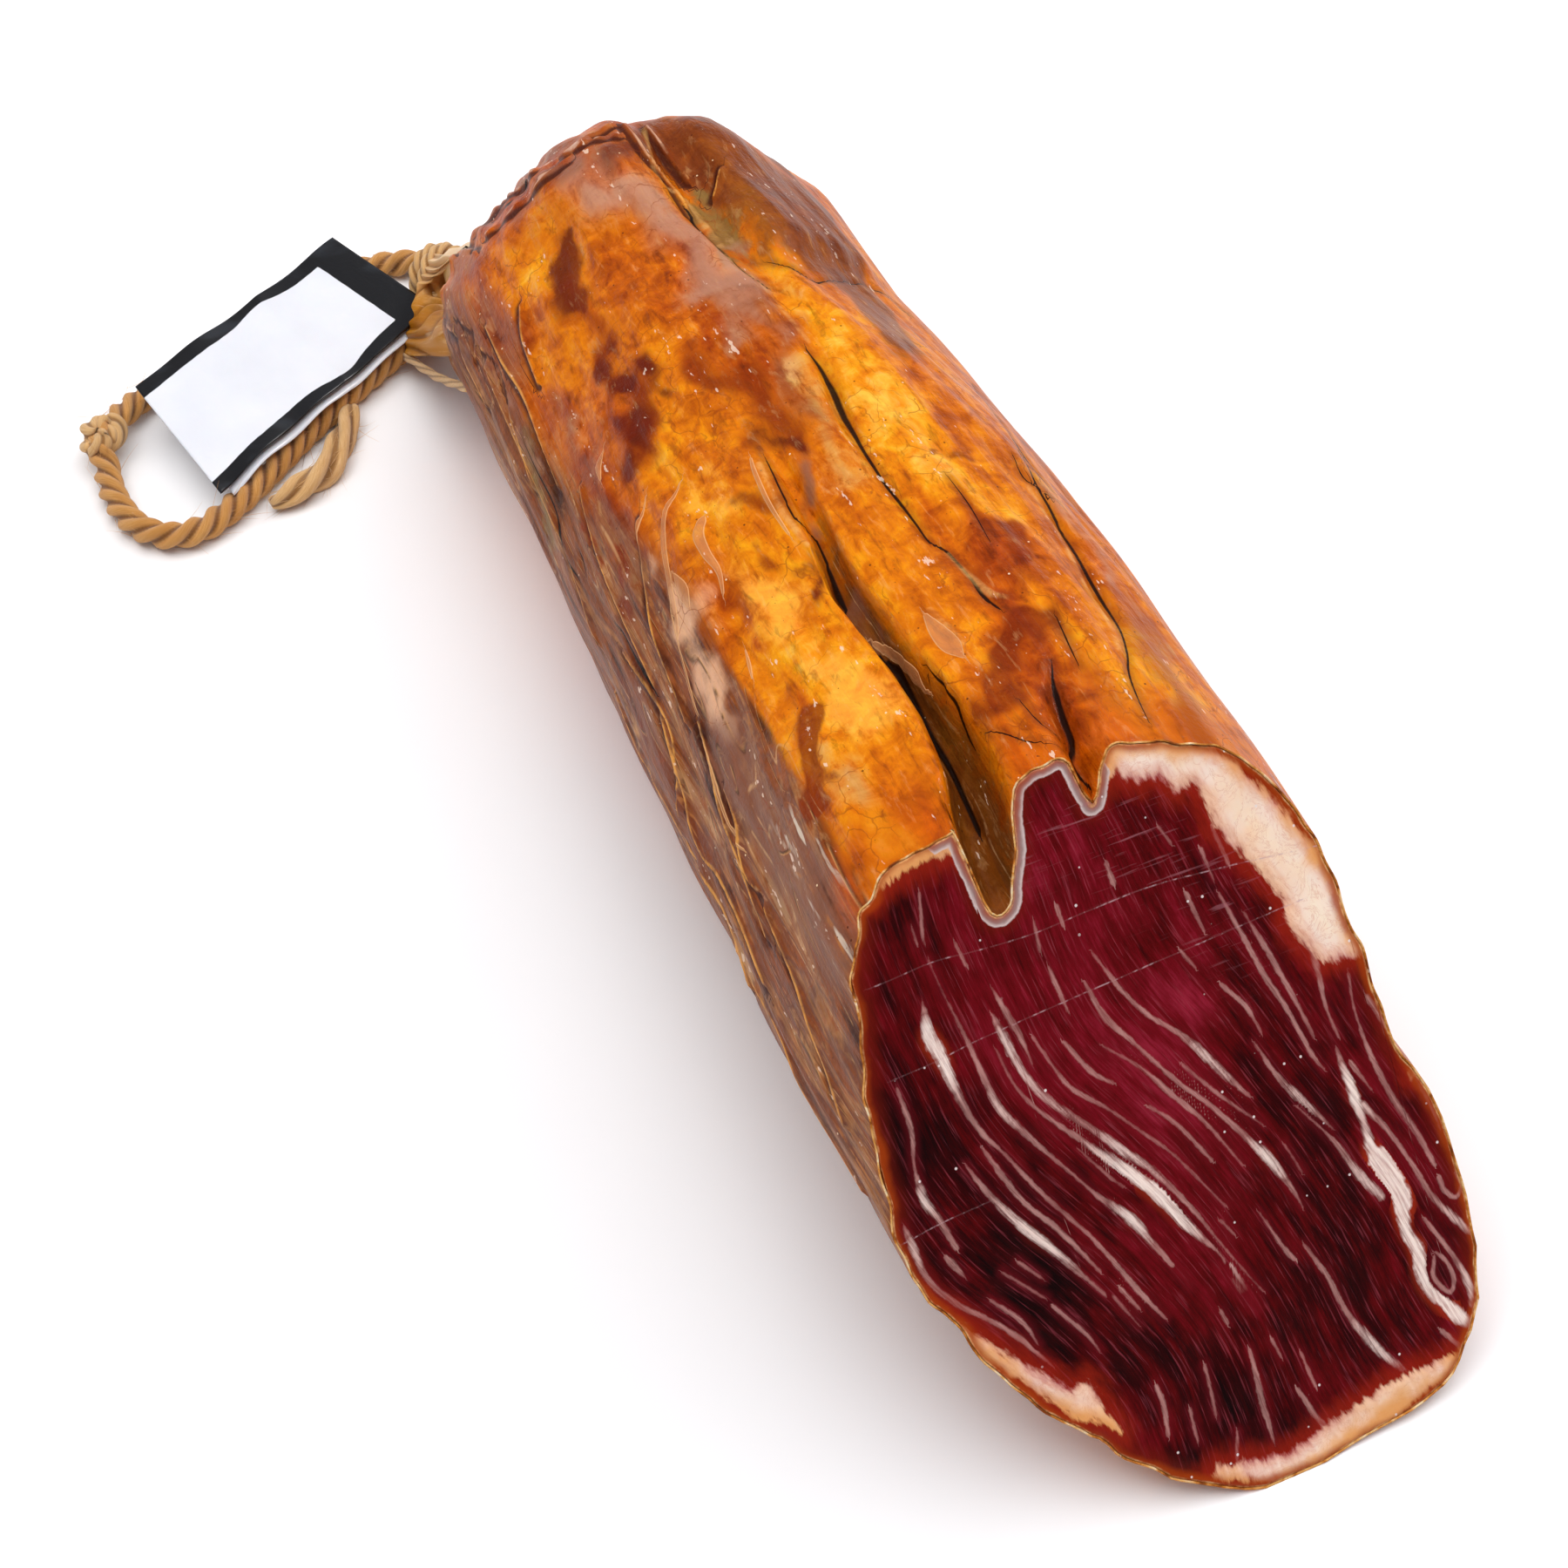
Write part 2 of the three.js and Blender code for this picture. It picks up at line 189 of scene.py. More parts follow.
def close_tube(rows, columns):
    """The two end caps of a tube whose columns go round: the first ring backwards and the last
    ring as it is, so that both face out."""
    ring = np.arange(columns)
    return [ring[::-1], (rows - 1) * columns + ring]


def round_trip(front, back):
    """Rows over the front of a sheet, each joined by the row that comes back behind it."""
    return np.concatenate([front, back[:, ::-1]], axis=1)


def tube_frame(path, reference):
    """Directions across a path: sideways, square to the path and the reference direction, and
    upwards, square to both."""
    along = unit(np.gradient(path, axis=0))
    sideways = unit(np.cross(along, reference))
    return along, sideways, np.cross(sideways, along)


def running_length(path):
    """Distance along a path from its start to each of its points."""
    return np.concatenate([[0], np.cumsum(np.linalg.norm(np.diff(path, axis=0), axis=1))])


# %% [markdown]
# ## Materials
# A material is a small machine of nodes: patterns and stored values go in, and a colour, a gloss
# and a bump come out. It could be wired by hand in the editor, but then a change means many
# clicks. Here one function turns a hex colour into the linear numbers that the renderer adds up,
# and one adds a node with its settings and links. A pattern's size is given in millimetres.


# %% Material helpers
def linear(colour):
    """Linear red, green, blue and alpha of an sRGB hex colour: c/12.92 in the darkest part, and
    ((c + 0.055)/1.055)^2.4 above it."""
    parts = np.array([int(colour[k:k + 2], 16) for k in (1, 3, 5)]) / 255
    toned = np.where(parts <= 0.04045, parts / 12.92, ((parts + 0.055) / 1.055) ** 2.4)
    return (*toned.tolist(), 1.0)


def per(millimetres):
    """The scale that gives a pattern on Object coordinates a grain of this many millimetres."""
    return 1 / (millimetres * MM)


SOFT = {"interpolation_type": "SMOOTHSTEP"}
TIMES, PLUS, MINUS, TIMES_PLUS, SIZE = (
    {"operation": word} for word in ("MULTIPLY", "ADD", "SUBTRACT", "MULTIPLY_ADD", "ABSOLUTE")
)
# Which inputs the values of a node fill in turn, where they aren't its first ones, and which
# result it gives, where that isn't its first.
FILLS = {
    "Mix": (0, 6, 7), "Mapping": (0, 3, 2), "TexVoronoi": ("Vector", "Scale"),
    "TexNoise": ("Vector", "Scale", "Detail", "Roughness", "Distortion"),
    "Bump": ("Strength", "Distance", "Height"),
}
GIVES = {"Mix": 2, "Attribute": "Fac", "TexCoord": "Object"}


def new_material(name):
    """An empty node material, and the function that adds nodes to it."""
    material = bpy.data.materials.new(name)
    material.use_nodes = True
    tree = material.node_tree
    tree.nodes.clear()

    def add(kind, *values, stops=(), out=None, **settings):
        """Adds a node with its settings and links, and gives back its result. The values are
        numbers, hex colours or other nodes' results, and fill its inputs in turn, or one
        dictionary names the inputs. stops are the places and colours of a colour ramp."""
        made = tree.nodes.new("ShaderNode" + kind)
        if kind == "Mix":
            made.data_type = "RGBA"
        for key, value in settings.items():
            setattr(made, key, value)
        named = values and isinstance(values[0], dict)
        for key, value in values[0].items() if named else zip(FILLS.get(kind, range(9)), values):
            if isinstance(value, bpy.types.NodeSocket):
                tree.links.new(value, made.inputs[key])
            else:
                made.inputs[key].default_value = linear(value) if isinstance(value, str) else value
        if stops:
            ramp = made.color_ramp
            while len(ramp.elements) < len(stops):
                ramp.elements.new(0.5)
            for element, (place, colour) in zip(ramp.elements, stops):
                element.position, element.color = place, linear(colour)
        return made.outputs[GIVES.get(kind, 0) if out is None else out] if len(made.outputs) else None

    return material, add


# %% [markdown]
# ## The rope
# The loin hung by a cord of jute: three strands laid round each other, about 4.4 mm thick, from
# the tie at the neck out to a knot and back. A cord could be a curve with a round bevel, but
# then its strands would be painted on. Here the section itself is the outline of three touching
# round strands, and it turns as it goes along the path, so the grooves between the strands are
# real. Thin loose fibres stand off it, because jute is a hairy yarn.

# %% Rope route
ROPE_DIAMETER = 4.4
ROPE_OUT = [
    [-126.6, -10.8, 3.0], [-129.4, -12.8, 2.7], [-131.7, -16.2, 2.4], [-132.8, -20.8, 2.4],
    [-132.6, -26.2, 2.4], [-130.6, -33.4, 2.4], [-127.4, -42.4, 2.4], [-123.8, -52.4, 2.4],
    [-120.8, -60.6, 2.5], [-117.0, -67.6, 2.9],
]
ROPE_KNOT = [-110.8, -74.2, 4.5]
ROPE_BACK = [
    [-105.0, -75.4, 2.6], [-101.0, -76.0, 2.4], [-96.2, -75.9, 2.4], [-91.2, -74.6, 2.4],
    [-87.6, -71.2, 2.4], [-86.8, -66.6, 2.4], [-88.4, -62.0, 2.4], [-91.2, -57.0, 2.4], [-94.8, -51.6, 2.4],
    [-98.6, -46.2, 2.4], [-102.2, -40.6, 2.4], [-105.8, -34.6, 2.4], [-109.4, -28.4, 2.4],
    [-112.4, -22.6, 2.4], [-115.0, -18.0, 2.4],
]
ROPE_STEP = 0.42
rope_knots = [*ROPE_OUT, ROPE_KNOT, *ROPE_BACK]
rope_length = running_length(spline(rope_knots, 400))[-1]
rope_path = spline(rope_knots, int(rope_length / ROPE_STEP))
print(f"the rope is {rope_length:.0f} mm long from the tie round to the tie again")


# %% Twisted strands
# A strand's radius, and the least radius of the rope, as shares of the rope's own radius.
STRAND, LEAST_RADIUS = 0.464, 0.62
SWELL_LENGTH = 1.9
LEAST_HEIGHT = 0.12
THIRD = 2 * np.pi / 3


def laid_rope(name, path, diameter, lay, reference, looseness=0.0, columns=48, spread=1.0):
    """A rope of three strands along a path. At an angle q from the middle of a strand the
    outline is c cos q + sqrt(a^2 - (c sin q)^2), with strands of radius a centred c from the
    axis. The strands go once round in each `lay` millimetres."""
    length = running_length(path)[:, None]
    angle = np.linspace(0, 2 * np.pi, columns, endpoint=False)[None, :]
    strand_turn = angle - 2 * np.pi * length / lay
    q = np.mod(strand_turn, THIRD) - THIRD / 2
    offset = 2 / np.sqrt(3) * STRAND
    outline = offset * np.cos(q) + np.sqrt(np.maximum(STRAND**2 - (offset * np.sin(q)) ** 2, 0))
    outline = np.maximum(outline, LEAST_RADIUS)
    which = np.floor(np.mod(strand_turn, 2 * np.pi) / THIRD)
    swell = looseness * np.sin(length / SWELL_LENGTH + which * 2.1)
    radius = diameter / 2 * outline * (1 + swell) * spread
    _, sideways, upwards = tube_frame(path, reference)
    around = np.cos(angle)[..., None] * sideways[:, None] + np.sin(angle)[..., None] * upwards[:, None]
    points = path[:, None] + radius[..., None] * around
    points[..., 2] = np.maximum(points[..., 2], LEAST_HEIGHT)
    rows = len(path)
    faces = grid_faces(rows, columns)
    u = np.broadcast_to(strand_turn, (rows, columns)) * diameter / 2
    v = np.broadcast_to(length, (rows, columns))
    step = np.pi / columns * diameter
    uv = np.stack([u, v], axis=-1).reshape(-1, 2)[faces]
    last = faces[:, 0] % columns == columns - 1
    uv[last, 1, 0] = uv[last, 0, 0] + step
    uv[last, 2, 0] = uv[last, 3, 0] + step
    caps = [cap[::-1] for cap in close_tube(rows, columns)]
    return put_mesh(name, points, faces[:, ::-1], None, caps, {"groove": 1 - outline}, uv[:, ::-1])


UPWARD = np.array([0.0, 0.0, 1.0])
ROPE_LAY = 11.0
rope = laid_rope("rope", rope_path, ROPE_DIAMETER, ROPE_LAY, UPWARD, looseness=0.06)

# %% Tail, knot and tie
# The rope's free end lies beside the loop, paler and looser. The knot is the rope wound on
# itself, and two turns bind the neck.
TAIL_DIAMETER, TAIL_LAY = 3.8, 26.0
TAIL_ROUTE = [
    [-87.7, -54.6, 2.1], [-88.2, -51.6, 2.1], [-89.3, -49.0, 2.1], [-91.3, -45.0, 2.1], [-94.7, -41.2, 2.1],
    [-98.9, -38.0, 2.2], [-102.4, -35.8, 2.6],
]
TAIL_PIECES = 70
# The tail swells in its middle and closes at both ends, as the root of a parabola does.
share = np.linspace(0.01, 0.99, TAIL_PIECES + 1)[:, None]
fullness = 1.3 * (4 * share * (1 - share)) ** 0.3
tail_path = spline(TAIL_ROUTE, TAIL_PIECES)
tail = laid_rope("rope_end", tail_path, TAIL_DIAMETER, TAIL_LAY, UPWARD, looseness=0.14, spread=fullness)

KNOT_HALF = np.array([3.1, 2.2, 2.0])
KNOT_TURN, KNOT_CORD, KNOT_REACH, KNOT_RISE = -0.75, 3.4, 1.9, 1.15
# A trefoil: three loops round the knot's middle while the rope goes twice about it.
wound = np.linspace(0, 2 * np.pi, 181)
reach = KNOT_REACH + np.cos(3 * wound)
knot_local = [reach * np.cos(2 * wound), reach * np.sin(2 * wound), KNOT_RISE * np.sin(3 * wound)]
knot_local = np.stack(knot_local, axis=-1) * KNOT_HALF / (KNOT_REACH + 1)
c, s = np.cos(KNOT_TURN), np.sin(KNOT_TURN)
knot_path = knot_local @ np.array([[c, -s, 0], [s, c, 0], [0, 0, 1]]).T + np.array(ROPE_KNOT)
knot_side = unit(np.cross(knot_local, [0.3, 0.2, 1.0])[:-1])
knot = laid_rope("knot", knot_path[:-1], KNOT_CORD, ROPE_LAY, knot_side)

NECK_ROOT = np.array([-98.8, 0.5, 19.5])
NECK_TIE = np.array([-120.3, -13.0, 7.2])
NECK_TIE_RADIUS = 2.9
TIE_CORD, TIE_TURNS, TIE_LAY = 2.4, 2.0, 8.0
neck_line = unit(NECK_ROOT - NECK_TIE)
neck_side = unit(np.cross(neck_line, UPWARD))
neck_over = np.cross(neck_side, neck_line)
bound = np.linspace(0, 2 * np.pi * TIE_TURNS, 170)[:, None]
tie_radius = NECK_TIE_RADIUS + 0.3 + TIE_CORD / 2
tie_path = (
    NECK_TIE + tie_radius * (np.cos(bound) * neck_side + np.sin(bound) * neck_over)
    + (bound / (2 * np.pi) - TIE_TURNS / 2) * TIE_CORD * 0.92 * neck_line
)
tie = laid_rope("neck_turns", tie_path, TIE_CORD, TIE_LAY, neck_line, columns=36)


# %% Loose fibres
HAIR_RINGS, HAIR_THICKNESS = 5, 0.09


def fibres(name, path, diameter, count, seed, longest=7.0):
    """Fine hairs that leave a rope: each starts on its surface and runs along it while bending
    away, as a parabola. Each is a three-sided needle of five rings."""
    draw = np.random.default_rng(seed)
    along, sideways, upwards = tube_frame(path, UPWARD)
    start = draw.integers(2, len(path) - 2, count)
    angle = draw.uniform(0, 2 * np.pi, count)
    out = np.cos(angle)[:, None] * sideways[start] + np.sin(angle)[:, None] * upwards[start]
    forward = draw.choice([-1.0, 1.0], count)[:, None]
    heading = unit(along[start] * forward + draw.normal(0, 0.35, (count, 3)))
    length = draw.uniform(0.25, 1.0, count) ** 1.6 * longest
    lift = draw.uniform(0.05, 0.45, count) * length
    t = np.linspace(0, 1, HAIR_RINGS)[None, :, None]
    centre = (
        path[start][:, None] + out[:, None] * diameter * 0.44
        + heading[:, None] * t * length[:, None, None] + out[:, None] * t**2 * lift[:, None, None]
    )
    ring = 2 * np.pi * np.arange(3) / 3
    across = unit(np.cross(heading, out))[:, None, None]
    outward = out[:, None, None]
    width = HAIR_THICKNESS / 2 * (1 - 0.8 * t[..., None])
    points = centre[:, :, None] + width * (
        np.cos(ring)[None, None, :, None] * across + np.sin(ring)[None, None, :, None] * outward
    )
    points[..., 2] = np.maximum(points[..., 2], 0.15)
    one = grid_faces(HAIR_RINGS, 3)
    size = 3 * HAIR_RINGS
    faces = (one[None] + size * np.arange(count)[:, None, None]).reshape(-1, 4)
    caps = [size * k + cap for k in range(count) for cap in close_tube(HAIR_RINGS, 3)]
    return put_mesh(name, points, faces, None, caps, {"groove": np.zeros(count * size)})


rope_fibres = fibres("rope_fibres", rope_path, ROPE_DIAMETER, 260, seed=5)
tail_fibres = fibres("rope_end_fibres", tail_path, TAIL_DIAMETER, 90, seed=6, longest=8.0)

# %% [markdown]
# The jute's colour comes from dry plant fibre: straw where light catches single fibres, and
# brown painted into the grooves as painted shade. It has no gloss, only a faint sheen from its hairs.


# %% Jute
def jute(name, straw, middle, groove_shade_colour):
    """Jute in three colours: single fibres in the light, the mass of them, and painted shade in the grooves.
    """
    material, add = new_material(name)
    place = add("UVMap", uv_map="grain")
    where = add("TexCoord")
    # Single fibres are about 0.1 mm across and run nearly along the rope.
    stretched = add("Mapping", place, (3.0, 0.22, 1), (0, 0, 0.35))
    hairs = add("TexNoise", stretched, 2.2, 4, 0.65)
    spots = add("TexNoise", where, per(5), 2)
    groove = add("Attribute", attribute_name="groove")
    # Painted shade: the grooves between the strands are darkened.
    deep = add("MapRange", groove, 0.18, 0.42, **SOFT)
    light = add("MapRange", hairs, 0.36, 0.66)
    colour = add("Mix", light, middle, straw)
    for factor, shade in ((spots, middle), (deep, groove_shade_colour)):
        colour = add("Mix", factor, colour, shade)
    bump = add("Bump", 0.9, 0.25 * MM, hairs)
    add("OutputMaterial", add("BsdfPrincipled", {
        "Base Color": colour, "Roughness": 0.85, "Sheen Weight": 0.25, "Sheen Roughness": 0.5, "Normal": bump,
    }))
    return material


jute_rope = jute("jute_rope_laid", "#f0bc74", "#c48438", "#7c4a1c")
jute_end = jute("jute_rope_frayed", "#f2d09c", "#d2a060", "#94642c")
for piece in (rope, rope_fibres):
    piece.data.materials.append(jute_rope)
for piece in (tail, tail_fibres, knot, tie):
    piece.data.materials.append(jute_end)
print(f"{jute_rope.name}: {len(jute_rope.node_tree.nodes)} nodes")

# %% [markdown]
# ## The label
# A strip of white film, printed with a black border, hangs over the rope as two leaves. It would
# be simple to crumple a plane with a modifier, but then its edges couldn't be set. Here each leaf
# is a grid along and across the label, lifted by a long wave, a soft crease and small ripples,
# and it is given a thickness. The back leaf is a little shorter and lies just under the front.

# %% Label
LABEL_LENGTH, LABEL_WIDTH, LABEL_LEAF = 47.5, 21.8, 0.22
LABEL_CENTRE = np.array([-113.6, -43.4, 8.1])
LABEL_HEADING, LABEL_TILT = np.radians([116.6, 6.8])
LABEL_WAVE, LABEL_WAVES, LABEL_PHASE = 0.5, 1.3, -0.6
LABEL_BEND, LABEL_BEND_RISE = 28.0, 0.55
LABEL_SKEW, LABEL_FLARE = 5.5, 2.6
LABEL_GAP, BACK_SHORTER, BACK_LOWER = 1.1, 2.0, 0.9
BORDER, END_BAND = 2.6, 6.2

label_along = np.array([np.cos(LABEL_HEADING), np.sin(LABEL_HEADING), 0])
label_flat = np.array([-np.sin(LABEL_HEADING), np.cos(LABEL_HEADING), 0])
label_across = label_flat * np.cos(LABEL_TILT) + UPWARD * np.sin(LABEL_TILT)
label_up = np.cross(label_along, label_across)


def leaf_height(u, v):
    """The film's height over its plane: a long wave, a soft crease across it at LABEL_BEND, and
    ripples along its two printed edges."""
    wave = LABEL_WAVE * np.sin(2 * np.pi * LABEL_WAVES * u / LABEL_LENGTH + LABEL_PHASE)
    crease = LABEL_BEND_RISE * np.exp(-np.abs(u - LABEL_BEND - 0.15 * v) / 4.0)
    edge = np.abs(v) / (LABEL_WIDTH / 2)
    return wave + crease * (0.4 + 0.6 * edge) + 0.22 * edge**4 * np.sin(u / 2.3 + np.sign(v))


def leaf_grid(u, v):
    """Places along and across the label. Towards its knot end it flares and leans."""
    u, v = np.meshgrid(u, v, indexing="ij")
    v = v - LABEL_FLARE * (1 - u / LABEL_LENGTH) * (0.5 - v / LABEL_WIDTH)
    return u + LABEL_SKEW * v / LABEL_WIDTH * (1 - u / LABEL_LENGTH), v


def film_leaf(name, u, v, drop, ink):
    """A leaf of film: its upper side, its underside a thickness below, and a rim between."""
    rows, columns = u.shape
    middle = LABEL_CENTRE + (u - LABEL_LENGTH / 2)[..., None] * label_along + v[..., None] * label_across
    height = leaf_height(u, v) - drop
    top, bottom = (middle + (height + side * LABEL_LEAF / 2)[..., None] * label_up for side in (1, -1))
    caps = [cap[::-1] for cap in close_tube(rows, 2 * columns)]
    faces = grid_faces(rows, 2 * columns)[:, ::-1]
    return put_mesh(name, round_trip(top, bottom), faces, None, caps, {"ink": round_trip(ink, ink)})


half_width = LABEL_WIDTH / 2
u, v = leaf_grid(np.linspace(0, LABEL_LENGTH, 130), np.linspace(-half_width, half_width, 60))
# The ink's edge is where this distance is 0: inside the border along both sides, and at the end.
low_edge = -half_width - LABEL_FLARE * (1 - u / LABEL_LENGTH)
border_here = BORDER * (1 - 0.45 * np.exp(-((u - LABEL_BEND) / 5) ** 2))
ink = np.maximum(np.maximum(v - half_width, low_edge - v) + border_here, u - LABEL_LENGTH + END_BAND)
front_leaf = film_leaf("label_front", u, v, 0.0, ink)
back_across = np.linspace(-half_width, half_width, 40) - BACK_LOWER
u, v = leaf_grid(np.linspace(BACK_SHORTER, LABEL_LENGTH - 0.3, 100), back_across)
back_leaf = film_leaf("label_back", u, v, LABEL_GAP, np.full_like(u, -9.0))
print(f"the label's leaves are {LABEL_LENGTH} mm long and {LABEL_WIDTH} mm wide")

# %% [markdown]
# The film is printed polypropylene: white, smooth enough to catch the lamps in soft streaks, and
# with ink that is a little glossier than the bare film.

# %% Printed film
label_film, add = new_material("printed_polypropylene_film")
ink_value = add("Attribute", attribute_name="ink")
place = add("TexCoord")
edge = add("Math", add("TexNoise", place, per(2.5), 3), 0.25, -0.125, **TIMES_PLUS)
inked = add("MapRange", add("Math", ink_value, edge, **PLUS), -0.08, 0.08, **SOFT)
soft = add("TexNoise", place, per(9), 3)
white = add("Mix", soft, "#ebedf1", "#d9dce3")
# Painted sheen: the ink is painted grey along soft streaks.
ink_sheen = add("TexNoise", add("VectorMath", place, (1, 0.35, 1), **TIMES), per(5), 3, 0.5)
ink_sheen = add("MapRange", ink_sheen, 0.52, 0.7, 0, 0.6, **SOFT)
colour = add("Mix", inked, white, add("Mix", ink_sheen, "#060709", "#2a2e34"))
crumple = add("TexNoise", place, per(7), 4, 0.6, 0.6)
bump = add("Bump", 0.5, 0.5 * MM, crumple)
add("OutputMaterial", add("BsdfPrincipled", {
    "Base Color": colour, "Roughness": 0.36, "IOR": 1.49, "Coat Weight": 0.3, "Coat Roughness": 0.2,
    "Normal": bump, "Subsurface Weight": 0.05, "Subsurface Scale": 0.3 * MM,
}))
for piece in (front_leaf, back_leaf):
    piece.data.materials.append(label_film)
print(f"{label_film.name}: {len(label_film.node_tree.nodes)} nodes")

# %% [markdown]
# ## The body
# The loin is one muscle with its fat, pressed into folds by its casing. Sculpting it would lose
# its sizes, so the skin is a formula: sections given as radii round a centre line, which change
# along X from the tied end to the cut, with lengthwise folds pressed into the upper side.

# %% Sizes of the body
CUT_TOE, CUT_SLOPE = 122.7, 0.85
END_X, END_ROUNDING, END_SHARPNESS = -98.8, 26.0, 2.2
RADII_END = [32.3, 31.5, 28.4, 31.0, 32.0, 29.5, 28.4, 29.4, 30.0, 29.8, 29.0, 31.0, 30.5, 31.5, 31.0, 30.0]
RADII_MIDDLE = [
    34.5, 35.5, 36.0, 35.0, 33.5, 34.0, 34.5, 33.5, 33.0, 34.0, 37.5, 39.5, 37.5, 40.5, 41.5, 37.0,
]
RADII_CUT = [32.8, 33.8, 37.2, 37.8, 37.0, 37.8, 41.2, 36.8, 35.6, 32.6, 31.2, 31.8, 35.8, 38.2, 44.2, 40.2]
END_TO_MIDDLE, MIDDLE_TO_CUT = (-87, 28), (13, 68)
CENTRE_Y_CUT, CENTRE_Y_DRIFT, DRIFT_START_X, DRIFT_LENGTH = -0.73, 6.0, 82.7, 180.0
CENTRE_Z_CUT, CENTRE_Z_END = 36.0, 29.8
NECK_TIP = np.array([-122.3, -14.2, 5.9])
NECK_POINT = np.array([-122.7, -14.4, 5.8])
NECK_ROOT_SCALE, NECK_TIE_SHARE, NECK_FLARE, NECK_TIP_TAPER = 0.45, 0.2, 1.9, 0.15
NECK_PLEATS, NECK_PLEAT_DEPTH = 9, 0.08
# Each fold: lists of [x, value] for its place across, its depth and its half width, and how
# full its section is, 2 for a soft crease and 4 for a flat-bottomed gutter.
FOLDS = {
    "deep": (
        [[-8, -6.4], [8, -7.8], [22, -9.6], [45, -9.0], [55, -9.6], [64, -11.6], [72, -12.5]],
        [[-12, 0], [0, 1.6], [20, 3.2], [38, 5.0], [50, 7.0], [62, 8.9], [72, 10.2]],
        [[-12, 1.2], [20, 1.4], [38, 1.8], [50, 2.4], [62, 2.9], [72, 3.2]], 4),
    "lobes": (
        [[-90, 10.0], [-75, 8.4], [-57, 7.4], [-39, 8.4], [-30, 7.4], [-16, 6.4], [-4, 3.4], [9, 2.4],
         [36, 5.4]],
        [[-94, 0], [-86, 1.2], [-74, 4.5], [-60, 3.5], [-45, 2.2], [-30, 1.5], [0, 1.2], [36, 0]],
        [[-75, 5.0], [-60, 4.2], [-45, 2.6], [-20, 1.8]], 2),
    "right": (
        [[7, 20.4], [20, 21.4], [31, 19.4], [47, 15.4]],
        [[0, 0], [12, 1.2], [35, 1.2], [50, 0]], [[0, 1.8]], 2),
    "notch": (
        [[47, 6.4], [52, 3.4], [58, 2.4], [67, 1.4]],
        [[42, 0], [52, 1.4], [58, 2.8], [63, 5.0], [67, 6.4]], [[42, 1.2], [67, 1.9]], 2),
    "left": (
        [[4, -18.6], [18, -21.6], [36, -22.6]],
        [[0, 0], [12, 1.2], [30, 1.2], [42, 0]], [[0, 2.0]], 2),
}
FOLD_FADE = 15.0
LOBE_RISE, LOBE_STEP, LOBE_SPREAD = 1.4, (-50, -43), np.radians([25, 45, 70, 85])


# %% The skin as a formula
def along(pairs, x):
    """The value at x of a list of [x, value], straight between them and level past the ends."""
    pairs = np.array(pairs, float)
    return np.interp(x, pairs[:, 0], pairs[:, 1])


def radius_at(radii, angle):
    """A closed smooth curve (Catmull-Rom) through equally spaced radii, read at an angle."""
    radii = np.array(radii)
    n = len(radii)
    s = np.mod(angle / (2 * np.pi) * n, n)
    i = np.floor(s).astype(int)
    t = s - i
    a, b, c, d = (radii[(i + k) % n] for k in (-1, 0, 1, 2))
    return 0.5 * (2 * b + (c - a) * t + (2 * a - 5 * b + 4 * c - d) * t**2 + (3 * b - a - 3 * c + d) * t**3)


def body_radius(x, angle):
    """The section's radius: the end's gives way to the middle's, and that to the cut's. The far
    lobe on the right is plumper."""
    early = blend(radius_at(RADII_END, angle), radius_at(RADII_MIDDLE, angle), smooth(*END_TO_MIDDLE, x))
    radius = blend(early, radius_at(RADII_CUT, angle), smooth(*MIDDLE_TO_CUT, x))
    rise, full, fade, gone = LOBE_SPREAD
    spread = smooth(rise, full, angle) * (1 - smooth(fade, gone, angle))
    return radius + LOBE_RISE * spread * (1 - smooth(*LOBE_STEP, x))


def fold_depth(x, y):
    """Each fold presses down by depth * exp(-(distance / half width) ^ fullness)."""
    depth = 0
    for place, deep, width, fullness in FOLDS.values():
        s = np.abs(y - along(place, x)) / along(width, x)
        depth = depth + along(deep, x) * np.exp(-(s**fullness))
    return depth


def body_point(x, angle):
    """A point of the skin at x and an angle round the centre line. Near the tied end the
    section shrinks as a rounded corner does, and slides towards the neck's root."""
    drift = np.maximum((DRIFT_START_X - x) / DRIFT_LENGTH, 0)
    centre_y = CENTRE_Y_CUT + CENTRE_Y_DRIFT * drift**1.5
    centre_z = blend(CENTRE_Z_END, CENTRE_Z_CUT, smooth(*END_TO_MIDDLE, x))
    near = np.clip((x - END_X) / END_ROUNDING, 0, 1)
    rounding = (1 - (1 - near) ** END_SHARPNESS) ** (1 / END_SHARPNESS)
    scale = blend(NECK_ROOT_SCALE, 1, rounding)
    radius = body_radius(x, angle) * scale
    slide = (1 - near) ** 2
    y = blend(centre_y, NECK_ROOT[1], slide) + radius * np.cos(angle)
    z = blend(centre_z, NECK_ROOT[2], slide) + radius * np.sin(angle)
    pressed = fold_depth(x, y) * smooth(centre_z, centre_z + FOLD_FADE, z) * scale
    return np.stack([x, y, np.maximum(z - pressed, 0)], axis=-1)


def cut_x(angle):
    """The x at which a line of skin meets the cut, found by going part of the way, many times."""
    x = np.full_like(angle, CUT_TOE - CUT_SLOPE * CENTRE_Z_CUT)
    for _ in range(60):
        x = blend(x, CUT_TOE - CUT_SLOPE * body_point(x, angle)[..., 2], 0.6)
    return x


